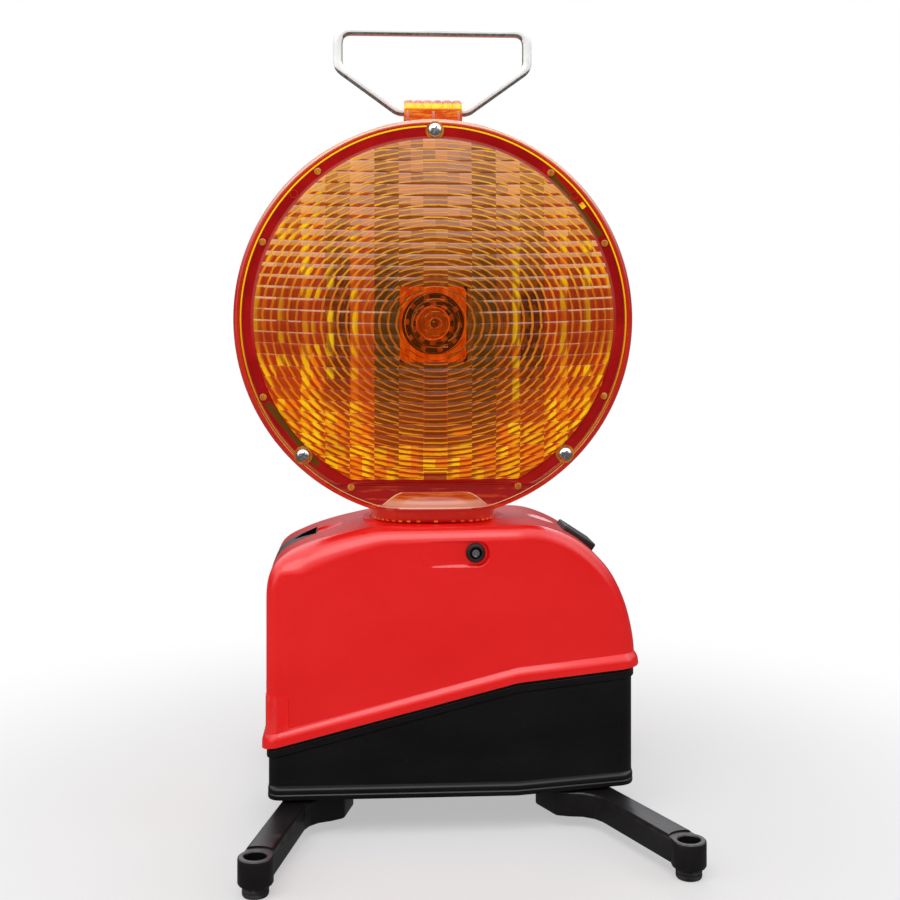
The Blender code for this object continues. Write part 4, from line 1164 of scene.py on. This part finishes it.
def build_hood_fittings():
    cover = piece(
        "shoulder_cover_fine", shoulder_strip(1.0, -0.2, 10.0), "dark_plastic", "hood",
        ["shoulder_cover"],
    )
    bevel(cover, 0.6, angle=50)
    # painted shadow: a dark sheet over the cover's upper part, standing for the shade inside an
    # opening: x, z, half width
    stations = ((-69.0, 134.75, 0.6), (-65.6, 136.45, 4.0), (-62.0, 137.75, 7.0),
                (-58.4, 139.05, 9.4))
    shadow_sheet = [
        [(x, -half, z), (x, half, z), (x, half, z + 0.3), (x, -half, z + 0.3)]
        for x, z, half in stations
    ]
    piece("shoulder_shadow_sheet", loft(shadow_sheet), "pocket_shadow", "hood")

    button = piece(
        "lock_button_fine", on_slope(-9.0, 9.0, -12.0, 12.0, -2.2, 2.0), "dark_plastic",
        "button", ["lock_button"],
    )
    bevel(button, 0.9, segments=4, angle=40)
    for k in range(-2, 3):
        cut(button, on_slope(k * 2.6 - 0.35, k * 2.6 + 0.35, -9.5, 9.5, 1.6, 4.0))


def build_key():
    # radius, distance in front of the key's face
    bezel = [
        (4.7, 0.3), (4.7, 0.8), (4.5, 1.3), (4.1, 2.3), (3.8, 2.7), (3.3, 2.8),
        (2.9, 2.7), (2.8, 2.4), (2.8, 0.3),
    ]
    at = (KEY_X, 0, KEY_Z)
    piece(
        "key_bezel_fine", turned(outward(bezel, -1, -KEY_FACE), "Y", at, 48),
        "dark_plastic", "hood", ["key_bezel"],
    )
    # radius, y
    barrel = [
        (0, KEY_FACE - 2.0), (1.7, KEY_FACE - 2.0), (2.0, KEY_FACE - 1.7), (2.0, -28.3),
        (2.2, -28.0), (0, -28.0),
    ]
    key = piece(
        "key_barrel_fine", turned(barrel, "Y", at, 32), "bright_steel", "key", ["key_barrel"]
    )
    cut(key, box(KEY_X - 0.45, KEY_X + 0.45, KEY_FACE - 4, KEY_FACE - 1.2,
                 KEY_Z - 1.7, KEY_Z + 1.7))


def build_lock_and_stud():
    """Slotted lock at the left end and hexagon-socket stud at the right."""
    # both: radius, x
    lock_profile = [
        (0, -83.2), (3.6, -83.2), (4.8, -83.0), (5.5, -82.5), (5.8, -81.9), (5.8, -81.1),
        (3.0, -81.1), (3.0, -76.6), (0, -76.6),
    ]
    stud_profile = [
        (0, 92.5), (2.1, 92.5), (2.1, 96.8), (5.4, 96.8), (5.4, 97.6), (5.1, 98.1),
        (4.4, 98.4), (3.4, 98.5), (0, 98.5),
    ]
    lock = piece(
        "hood_lock_fine", turned(lock_profile, "X", (0, 0, LOCK_Z), 40), "bright_steel",
        "lock", ["hood_lock"],
    )
    cut(lock, box(-84.5, -82.2, -4.2, 4.2, 61.7, 63.3))
    stud = piece(
        "case_stud_fine", turned(stud_profile, "X", (0, 0, STUD_Z), 40), "bright_steel",
        "case", ["case_stud"],
    )
    cut(stud, rod(1.9, 97.6, 100.0, "X", (0, 0, STUD_Z), 6))


# ---------------------------------------------------------------- lamp head
LENS_R, LENS_CHORD = 94.5, 81.0
PEG_CIRCLE = 91.4
AXIS_Z = 349.5  # the handle's turning axis


def round_head(radius, degrees):
    """The x and z of a place on a circle about the head's centre."""
    angle = math.radians(degrees)
    return radius * math.cos(angle), HEAD_Z + radius * math.sin(angle)


SCREWS = [round_head(92.0, degrees) for degrees in (90.0, 226.0, 314.0)]


def cut_circle(radius, chord, count=240):
    """A circle about the head's centre, cut flat at a chord below it."""
    out = []
    for i in range(count):
        angle = 2 * math.pi * (i + 0.5) / count
        sine = math.sin(angle)
        reach = radius if sine >= 0 or radius * -sine <= chord else chord / -sine
        out.append((reach * math.cos(angle), reach * sine))
    return out


def grown(outline, by):
    return [(x * (1 + by / math.hypot(x, z)), z * (1 + by / math.hypot(x, z)))
            for x, z in outline]


def at_head(outline, y):
    return [(x, y, HEAD_Z + z) for x, z in outline]


def drill_screws(obj, radius):
    for x, z in SCREWS:
        cut(obj, rod(radius, -40, 40, "Y", (x, 0, z), 20))


def dome(radius):
    """Front face of the optic, outward from the head's middle plane."""
    share = min(radius / OPTIC_R, 1.0)
    return 24.0 + 6.6 * (1 - share * share)


def pillow(x, z):
    """Height of the facet pattern at a point of the optic."""
    off_x = x - round(x / CELL_W) * CELL_W
    off_z = z - (math.floor(z / CELL_H) + 0.5) * CELL_H
    return -0.12 * (off_x / (CELL_W / 2)) ** 2 - 0.1 * (off_z / (CELL_H / 2)) ** 2


def optic_mesh(sign, count=240):
    """Domed disc with a saw-tooth of Fresnel rings on its face and a smooth
    inner face, cut by its chord."""
    shape = bmesh.new()
    saw = []  # radius, height of the tooth
    for k in range(int(OPTIC_R / RING_PITCH)):
        start = k * RING_PITCH
        saw += [(start + 0.02 if k else 0.6, 0.0), (start + 1.5, 0.22), (start + 2.62, 0.42)]
    saw.append((OPTIC_R - 1.4, 0.0))
    # radius, distance from the middle plane: rim, then the inner face
    plain_rings = [
        (OPTIC_R - 0.5, 23.8), (OPTIC_R, 23.2), (OPTIC_R, 20.4), (OPTIC_R - 3.0, 20.4)
    ]
    for share in (0.94, 0.8, 0.6, 0.4, 0.2):
        plain_rings.append((OPTIC_R * share, 21.9 + 6.6 * (1 - share * share)))

    def point(radius, angle, out):
        x, z = radius * math.cos(angle), radius * math.sin(angle)
        sink = OPTIC_SINK * (1 - min(radius / OPTIC_R, 1.0) ** 2)
        return shape.verts.new((x, sign * out, HEAD_Z + z - sink))

    angles = [2 * math.pi * i / count for i in range(count)]
    rows = []
    for r, tooth in saw:
        rows.append([
            point(r, a, dome(r) + tooth + pillow(r * math.cos(a), r * math.sin(a)))
            for a in angles
        ])
    for r, out in plain_rings:
        rows.append([point(r, a, out) for a in angles])
    for first, second in zip(rows, rows[1:]):
        bridge(shape, first, second)
    tip = shape.verts.new((0, sign * dome(0), HEAD_Z - OPTIC_SINK))
    back = shape.verts.new((0, sign * 28.5, HEAD_Z - OPTIC_SINK))
    for i in range(count):
        j = (i + 1) % count
        shape.faces.new((rows[0][j], rows[0][i], tip))
        shape.faces.new((rows[-1][i], rows[-1][j], back))
    bmesh.ops.recalc_face_normals(shape, faces=shape.faces)
    section = bmesh.ops.bisect_plane(
        shape, geom=shape.verts[:] + shape.edges[:] + shape.faces[:],
        plane_co=(0, 0, HEAD_Z - OPTIC_CHORD + 0.013), plane_no=(0, 0, -1),
        clear_outer=True, dist=1e-5,
    )["geom_cut"]
    edges = [g for g in section if isinstance(g, bmesh.types.BMEdge)]
    bmesh.ops.holes_fill(shape, edges=edges, sides=0)
    return shape


def build_lenses():
    outer = cut_circle(LENS_R, LENS_CHORD)
    inner = cut_circle(OPTIC_R + 0.05, OPTIC_CHORD + 0.05)
    # outline, distance from the middle plane
    section = [
        (outer, 20.0), (outer, 22.0), (grown(outer, -0.25), 22.28),
        (grown(outer, -0.9), 22.3), (grown(outer, -1.3), 22.0), (grown(inner, 0.7), 21.9),
        (grown(inner, 0.35), 22.3), (inner, 22.3), (inner, 20.0),
    ]
    for sign, side in SIDES:
        piece(f"{side}_optic", optic_mesh(sign), "amber_lens", "head", [f"{side}_lens"], 12.0)
        loops = [at_head(outline, sign * y) for outline, y in section]
        edge = piece(f"{side}_lens_edge", loft(loops, close=True), "lens_flange", "head")
        drill_screws(edge, 1.85)


# Front half of the housing ring's section: radius, y
RING_FRONT = [
    (98.0, -18.2), (97.9, -19.2), (97.6, -20.2), (97.1, -21.1), (96.5, -21.7),
    (95.9, -22.0), (95.2, -22.0), (94.95, -21.7), (94.9, -18.6), (87.0, -18.6),
    (87.0, -16.2), (94.2, -16.2),
]
RING_GROOVE = [(98.0, 0.9), (97.7, 0.5), (97.7, -0.5), (98.0, -0.9)]
# Neck: radius, z, power of its squarish section (2 is a circle)
NECK = [
    (29.0, 146.8, 2.0), (30.0, 147.1, 2.4), (30.4, 147.7, 3.0), (30.5, 148.6, 3.4),
    (30.5, 153.0, 3.5), (30.35, 153.9, 3.5), (29.9, 154.4, 3.5), (29.3, 154.5, 3.5),
    (28.8, 154.3, 3.5), (28.2, 154.5, 3.5), (27.0, 155.8, 3.5), (25.6, 157.4, 3.5),
    (24.0, 159.2, 3.5), (22.5, 160.4, 3.5), (12.0, 160.8, 2.5),
]


def squarish(radius, z, power, count=120):
    """Ring round the head's upright axis, fuller than a circle."""

    def bend(value):
        return math.copysign(abs(value) ** (2 / power), value)

    wide = 1.0 + 0.08 * (power - 2.0) / 1.5
    angles = [2 * math.pi * i / count for i in range(count)]
    return [
        (radius * bend(math.cos(a)), radius * wide * bend(math.sin(a)), z) for a in angles
    ]


def build_housing():
    section = RING_FRONT + [(r, -y) for r, y in reversed(RING_FRONT)] + RING_GROOVE
    housing = piece(
        "head_ring", turned(section, "Y", (0, 0, HEAD_Z), 192), "housing_red_orange", "head",
        ["head_housing"],
    )
    # solid segment below the chord
    segment = [round_head(96.0, degrees) for degrees in range(-122, -57, 2)]
    join(housing, slab(segment, -21.6, 21.6))
    join(housing, box(-50, 50, -18.6, 18.6, HEAD_Z - 83.0, HEAD_Z - 77.5))
    join(housing, rod(20.0, 130.4, 160.0, sides=72))
    join(housing, loft([squarish(*row) for row in NECK]))
    cut(housing, rod(9.0, 110.0, 176.0))
    # knuckle block and its bore for the handle
    join(housing, box(-14.5, 14.5, -6.2, 6.2, HEAD_Z + 95.0, 349.3))
    cut(housing, rod(2.65, -30, 30, "X", (0, 0, AXIS_Z), 24))
    drill_screws(housing, 1.9)


def build_neck_details():
    """Teeth round the foot of the neck, and its two mould ribs."""
    teeth = bmesh.new()
    for x, y, z in squarish(30.45, 147.75, 3.0, count=44):
        verts = bmesh.ops.create_cube(teeth, size=1.0)["verts"]
        bmesh.ops.scale(teeth, verts=verts, vec=(1.7, 1.0, 0.8))
        turn = Matrix.Rotation(math.atan2(y, x) + math.pi / 2, 4, "Z")
        matrix = Matrix.Translation((x, y, z)) @ turn
        bmesh.ops.transform(teeth, verts=verts, matrix=matrix)
    piece("neck_teeth", teeth, "neck_amber", "head")
    for index, (y0, y1) in enumerate(((-30.75, -30.2), (30.2, 30.75)), 1):
        piece(
            f"neck_mould_line_{index}", box(-0.45, 0.45, y0, y1, 148.9, 153.6),
            "housing_red_orange", "head",
        )


def build_knuckle_ribs():
    for sign, side in SIDES:
        ribs = bmesh.new()
        y0, y1 = sorted((sign * 5.9, sign * 7.0))
        for x in (-12.7, 0.0, 12.7):
            box(x - 0.8, x + 0.8, y0, y1, 341.6, 348.9, ribs)
        # the ribs' pink look is a painted highlight
        bevel(piece(f"knuckle_ribs_{side}", ribs, "rib_highlight_pink", "head"), 0.3, segments=2)


def scatter(profile, sign, places, sides):
    """One turned copy of an outward profile at each (x, z) place."""
    shape = bmesh.new()
    for x, z in places:
        turned(outward(profile, sign), "Y", (x, 0, z), sides, shape)
    return shape


def build_lens_details():
    """Screw bosses, pegs and small rings on both lens edges."""
    # all three: radius, distance from the middle plane
    boss_profile = [(0, 21.9), (4.6, 21.9), (4.4, 22.55), (0, 22.55)]
    peg_profile = [(0, 21.8), (1.7, 21.8), (1.7, 22.7), (1.35, 23.0), (0, 23.0)]
    ring_profile = [(1.6, 21.8), (2.1, 21.8), (2.1, 22.35), (1.6, 22.35)]
    peg_angles = (51.5, 128.5, 24.0, 156.0, -24.5, -155.5, -63.5, -116.5)
    pegs = [round_head(PEG_CIRCLE, degrees) for degrees in peg_angles]
    rings = [round_head(PEG_CIRCLE, degrees) for degrees in (41.5, 138.5)]
    for sign, side in SIDES:
        bosses = scatter(boss_profile, sign, SCREWS, 32)
        boss = piece(f"{side}_screw_bosses", bosses, "peg_amber", "head")
        drill_screws(boss, 1.85)
        piece(f"{side}_lens_pegs", scatter(peg_profile, sign, pegs, 24), "peg_amber", "head")
        piece(
            f"{side}_lens_rings", scatter(ring_profile, sign, rings, 28),
            "housing_red_orange", "head",
        )

    turn = Matrix.Rotation(math.radians(52.0), 4, "Y")
    tab = box(-1.5, 1.5, -22.75, -21.8, -1.2, 1.2, turn=turn)
    x, z = round_head(PEG_CIRCLE, 37.5)
    piece("lens_key_tab", moved(tab, (x, 0, z)), "knuckle_amber", "head")


def build_lens_screws():
    """Cross-slotted pan screws, their heads at the front."""
    # radius, y
    profile = [
        (0, -24.95), (1.2, -24.9), (2.2, -24.6), (3.0, -24.0), (3.4, -23.3), (3.45, -22.7),
        (1.5, -22.7), (1.5, 26.0), (0, 26.0),
    ]
    for index, (x, z) in enumerate(SCREWS, 1):
        screw = piece(
            f"pan_screw_{index}", turned(profile, "Y", (x, 0, z), 40), "bright_steel", "head",
            [f"lens_screw_{index}"],
        )
        for degrees in (25.0, 115.0):
            turn = Matrix.Rotation(math.radians(degrees), 4, "Y")
            slot = box(-1.9, 1.9, -27.0, -23.9, -0.42, 0.42, turn=turn)
            cut(screw, moved(slot, (x, 0, z)))


# ---------------------------------------------------------------- handle


def bent(points, radius, steps=10):
    """A polyline with its inner corners bent round."""
    out = [points[0]]
    for before, here, after in zip(points, points[1:], points[2:]):
        before, here, after = Vector(before), Vector(here), Vector(after)
        back, ahead = (before - here).normalized(), (after - here).normalized()
        reach = min(
            radius / math.tan(back.angle(ahead) / 2),
            (before - here).length * 0.49,
            (after - here).length * 0.49,
        )
        start, end = here + back * reach, here + ahead * reach
        for k in range(steps + 1):
            t = k / steps
            out.append(tuple(start * (1 - t) ** 2 + here * 2 * t * (1 - t) + end * t * t))
    out.append(points[-1])
    return out


def build_handle():
    """Wire handle, and the lobed half-round clip over it."""
    half = [(4.0, AXIS_Z), (17.2, AXIS_Z), (47.75, 371.5), (47.75, 389.8)]  # x, z
    path = [(x, 0, z) for x, z in half] + [(-x, 0, z) for x, z in reversed(half)]
    piece("wire_handle", pipe(bent(path, 7.0), 2.42, 32), "wire_steel", "handle", ["handle"])

    angles = [math.radians(4 + 172 * i / 16) for i in range(17)]

    def arc(x, radius):
        return [
            (x, radius * math.cos(a), AXIS_Z + max(radius * math.sin(a), 0.2)) for a in angles
        ]

    loops = []
    for k in range(73):
        x = -14.4 + 28.8 * k / 72
        lobe = abs(math.sin(math.pi * 6 * (k / 72)))
        loops.append(arc(x, 5.45 + 0.85 * lobe**0.45) + arc(x, 2.65)[::-1])
    piece("handle_clip_fine", loft(loops), "clip_amber", "head", ["handle_clip"], 50.0)


# ---------------------------------------------------------------- light unit
LED_Z = HEAD_Z - OPTIC_SINK
# Both: radius, distance from the unit's mounting face
LED_RING = [
    (15.6, 0), (15.6, 4.2), (15.3, 4.9), (14.9, 5.1), (14.3, 4.6), (13.2, 2.6),
    (12.6, 2.4), (12.2, 2.9), (12.0, 4.0), (11.6, 4.4), (11.2, 4.0), (10.8, 1.6),
    (8.6, 1.4), (8.6, 0),
]
LED_BOSS = [
    (0, 0), (7.6, 0), (7.6, 7.6), (7.1, 8.6), (6.2, 9.0), (3.4, 9.1), (3.0, 8.6),
    (2.9, 7.2), (0, 7.2),
]


def led_blocks(sign, start):
    """Two rings of ten small blocks."""
    shape = bmesh.new()
    y0, y1 = sorted((sign * (start + 1.2), sign * (start + 3.4)))
    middle = (y0 + y1) / 2
    # size in x and z, distance from the axis, y, share of a step turned
    rings = ((2.2, 3.0, 9.7, middle, 0.5), (2.4, 2.6, 13.4, middle + sign * 1.4, 0.1))
    for k in range(10):
        for width, height, radius, y, share in rings:
            verts = bmesh.ops.create_cube(shape, size=1.0)["verts"]
            bmesh.ops.scale(shape, verts=verts, vec=(width, y1 - y0, height))
            bmesh.ops.translate(shape, verts=verts, vec=(radius, y, 0))
            turn = Matrix.Rotation(2 * math.pi * (k + share) / 10, 4, "Y")
            bmesh.ops.transform(shape, verts=verts, matrix=turn)
    return moved(shape, (0, 0, LED_Z))


def build_light_unit():
    """The unit behind the middle of the optic."""
    corners = [(-17, -19.6), (17, -19.6), (17, 19.0), (-17, 19.0)]
    plate = [(x, LED_Z + z) for x, z in rounded(corners, [4.0] * 4)]
    piece("led_plate", slab(plate, -0.8, 0.8), "module_orange", "head", ["led_board"])
    at = (0, 0, LED_Z)
    for sign, side in SIDES:
        start = 1.1 if sign < 0 else 5.4
        piece(
            f"led_ring_{side}", turned(outward(LED_RING, sign, start), "Y", at, 72),
            "module_dark", "head", [f"led_housing_{side}"],
        )
        piece(
            f"led_boss_{side}", turned(outward(LED_BOSS, sign, start), "Y", at, 48),
            "module_boss", "head", [f"led_emitter_{side}"],
        )
        piece(f"led_chips_{side}", led_blocks(sign, start), "module_boss", "head")
    # radius, y
    profile = [(0, -11.6), (2.4, -11.6), (2.3, -12.4), (1.8, -13.0), (1.0, -13.4), (0, -13.4)]
    screw = piece(
        "led_screw_fine", turned(profile, "Y", at, 32), "bright_steel", "head", ["led_screw"]
    )
    cut(screw, box(-2.6, 2.6, -15, -12.7, LED_Z - 0.4, LED_Z + 0.4))


# ---------------------------------------------------------------- legs
# Shapes are about the pivot, the leg pointing to -Y
LEG_TOP, LEG_BOTTOM, LEG_LENGTH, LEG_OFFSET, BOSS_R = 17.6, 5.6, 85.5, 5.5, 7.7
BAR_LEFT, BAR_RIGHT = -LEG_OFFSET - 6.2, -LEG_OFFSET + 6.2
# Outline of a left leg: x, y, corner radius
LEG_CORNERS = [
    (-15.5, 9.5, 2.5), (-15.5, -9.0, 2.5), (-13.5, -11.5, 2.0), (BAR_LEFT, -13.2, 2.0),
    (BAR_LEFT, -LEG_LENGTH + 3.0, 0.0), (BAR_RIGHT, -LEG_LENGTH + 3.0, 0.0),
    (BAR_RIGHT, -27.0, 3.0), (BAR_RIGHT + 1.2, -22.0, 2.5), (BAR_RIGHT + 4.4, -17.4, 2.5),
    (BAR_RIGHT + 10.0, -13.8, 2.5), (15.6, -9.4, 3.0), (16.0, 8.5, 3.0),
    (14.0, 11.5, 2.0), (-13.5, 12.0, 2.0),
]
# All three: radius, z
LEG_BOSS = [
    (0, 4.9), (6.4, 4.9), (7.3, 5.3), (BOSS_R, 6.0), (BOSS_R, 15.8), (7.55, 16.5),
    (7.1, 16.9), (0, 16.9),
]
BOSS_HOLE = [(0, 9.6), (4.85, 9.6), (4.85, 16.4), (5.4, 16.95), (5.4, 30), (0, 30)]
FOOT = [
    (0, 0), (4.6, 0), (5.3, 0.3), (5.7, 0.9), (5.8, 1.6), (5.8, 2.2), (5.5, 2.4),
    (5.5, 2.8), (5.8, 3.0), (5.8, 4.3), (5.6, 4.6), (3.0, 4.6), (3.0, 10.4),
    (2.4, 11.0), (0, 11.0),
]


def build_leg(name, pivot_x, pivot_y, swing):
    hand = 1 if "left" in name else -1
    place = Matrix.Rotation(math.radians(-hand * swing), 4, "Z")
    if "rear" in name:
        place = Matrix.Scale(-1, 4, (0, 1, 0)) @ place

    def put(shape):
        bmesh.ops.transform(shape, verts=shape.verts, matrix=place)
        return moved(shape, (pivot_x, pivot_y, 0))

    bar_x = -hand * LEG_OFFSET
    end = (bar_x, -LEG_LENGTH, 0)
    body = f"{name}_leg"
    outline = rounded([c[:2] for c in LEG_CORNERS], [c[2] for c in LEG_CORNERS], 3)
    outline = [(hand * x, y) for x, y in outline]
    leg = piece(
        f"{name}_leg_fine", put(loft([level(outline, LEG_BOTTOM), level(outline, LEG_TOP)])),
        "leg_charcoal", body, [body],
    )
    bevel(leg, 1.1, segments=4, angle=60)
    join(leg, put(turned(LEG_BOSS, centre=end, sides=48)))
    cut(leg, put(rod(9.0, 16.9, 30, centre=end, sides=24)))
    cut(leg, put(turned(BOSS_HOLE, centre=end, sides=32)))
    cut(leg, put(rod(3.4, 0, 20, centre=end, sides=24)))
    cut(leg, put(rod(PIVOT_R, 0, 30, sides=24)))
    # shallow groove along the underside, and an ejector mark on the root
    cut(leg, put(box(bar_x - 2.6, bar_x + 2.6, -LEG_LENGTH + 14.0, -24.0, 3.0, 7.4)))
    cut(leg, put(rod(1.3, 17.2, 20, centre=(-hand * 8.5, -9.0, 0), sides=20)))
    piece(
        f"{name}_foot_fine", put(turned(FOOT, centre=end, sides=40)), "rubber", body,
        [f"{name}_foot"],
    )


def build_legs():
    for name, pivot in LEG_PIVOTS.items():
        build_leg(name, *pivot)


def dress_cad_nodes():
    """Gives the CAD nodes their looks."""
    subparts = frame["record"].get("subparts", [])
    slots = {entry["node"]: entry["material_slot"] for entry in subparts}
    slots["led_post"] = "module_orange"
    for node, obj in frame["nodes"].items():
        obj.data.materials.clear()
        obj.data.materials.append(LOOKS[slots.get(node, "dark_plastic")])
        smooth(obj, 35)


# ---------------------------------------------------------------- stage


def build_floor():
    """Pale floor that fades to white away from the lamp and is dim in
    reflections."""
    look = Look("studio_floor", (0.9, 0.9, 0.9))
    cloud = look.noise(scale=3.0, detail=3.0)
    base = cloud.mix((0.86, 0.86, 0.86), (0.93, 0.93, 0.93))
    normal = look.bump(look.noise(scale=500.0), depth=0.05, strength=0.2)
    ground = look.surface(base, 0.8, normal, specular=0.1)
    away = look.add("ShaderNodeVectorMath", {0: look.at}, output=1, operation="LENGTH")
    white = look.add("ShaderNodeEmission", {0: (1.0, 1.0, 1.0), 1: 1.0})
    camera_ray = look.add("ShaderNodeLightPath", output="Is Camera Ray")
    fade = camera_ray * away.ramp(0.12, 0.42).scaled(0.55, plus=0.45)
    seen = look.mix_shader(fade, ground, white)
    dim = look.add("ShaderNodeEmission", {0: (1.0, 1.0, 1.0), 1: 0.12})
    glossy_ray = look.add("ShaderNodeLightPath", output="Is Glossy Ray")
    look.finish(look.mix_shader(glossy_ray, seen, dim))

    shape = bmesh.new()
    bmesh.ops.create_grid(shape, x_segments=1, y_segments=1, size=6.0)
    mesh = bpy.data.meshes.new("studio_floor")
    shape.to_mesh(mesh)
    shape.free()
    mesh.materials.append(look.material)
    floor = bpy.data.objects.new("studio_floor", mesh)
    bpy.context.scene.collection.objects.link(floor)
    floor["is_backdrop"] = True


def build_world():
    """White to the camera; soft and even for diffuse light; a bright ceiling
    over a dim horizon in reflections."""
    world = bpy.data.worlds.new("studio")
    world.use_nodes = True
    bpy.context.scene.world = world
    graph = Graph(world.node_tree)

    def background(colour, strength):
        return graph.add("ShaderNodeBackground", {0: colour, 1: strength})

    up = graph.split(graph.add("ShaderNodeTexCoord", output="Generated"))[2]
    # input range, then the strengths at its ends
    ceiling = graph.add("ShaderNodeMapRange", {0: up, 1: 0.12, 2: 0.7, 3: 0.07, 4: 2.4})
    mirrored = background((0.93, 0.96, 1.0), ceiling)
    even = background((0.97, 0.98, 1.0), 0.30)
    seen = background((1.0, 1.0, 1.0), 1.0)
    glossy_ray = graph.add("ShaderNodeLightPath", output="Is Glossy Ray")
    camera_ray = Value(graph, glossy_ray.socket.node.outputs["Is Camera Ray"])
    light = graph.mix_shader(glossy_ray, even, mirrored)
    graph.end("ShaderNodeOutputWorld", graph.mix_shader(camera_ray, light, seen))


def softbox(name, at, target, size, power):
    """Rectangular light; metres and watts."""
    data = bpy.data.lights.new(name, "AREA")
    data.shape = "RECTANGLE"
    data.size, data.size_y = size
    data.energy = power
    light = bpy.data.objects.new(name, data)
    bpy.context.scene.collection.objects.link(light)
    light.location = at
    ahead = Vector(target) - Vector(at)
    light.rotation_euler = ahead.to_track_quat("-Z", "Y").to_euler()


def build_lights():
    low, high = (0.0, 0.0, 0.2), (0.0, 0.0, 0.25)
    softbox("key_light", at=(-0.3, -1.1, 1.7), target=low, size=(1.6, 1.2), power=15.0)
    softbox("fill_left", at=(-1.5, -0.7, 0.7), target=low, size=(1.0, 1.2), power=4.0)
    softbox("fill_right", at=(1.5, -0.6, 0.9), target=low, size=(0.8, 1.2), power=3.0)
    softbox("back_light", at=(0.2, 1.4, 1.3), target=high, size=(1.4, 0.8), power=7.0)


def build_camera():
    """Level camera in front, a little to the left of the lamp."""
    turn = math.radians(3.5)
    distance, height = 0.670, 0.243  # metres
    data = bpy.data.cameras.new("photo_camera")
    data.lens = 53.08
    data.sensor_width = 36.0
    data.shift_y = -0.141111111
    data.clip_start = 0.01
    camera = bpy.data.objects.new("photo_camera", data)
    scene = bpy.context.scene
    scene.collection.objects.link(camera)
    camera.location = (-distance * math.sin(turn), -distance * math.cos(turn), height)
    camera.rotation_euler = (math.radians(90.0), 0.0, -turn)
    scene.camera = camera
    scene.view_settings.view_transform = "Standard"
    scene.view_settings.look = "None"


def plain(bounds):
    """Bounds as numbers, lists and dicts that JSON can hold."""
    if isinstance(bounds, dict):
        return {key: plain(value) for key, value in bounds.items()}
    if isinstance(bounds, (str, int, float)):
        return bounds
    return [plain(value) for value in bounds]


make_looks()
build_case()
build_hood()
build_hood_fittings()
build_key()
build_lock_and_stud()
build_lenses()
build_housing()
build_neck_details()
build_knuckle_ribs()
build_lens_details()
build_lens_screws()
build_handle()
build_light_unit()
build_legs()
settle()
dress_cad_nodes()
build_floor()
build_world()
build_lights()
build_camera()

{"cad": plain(CAD_BOUNDS), "visual": plain(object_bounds())}
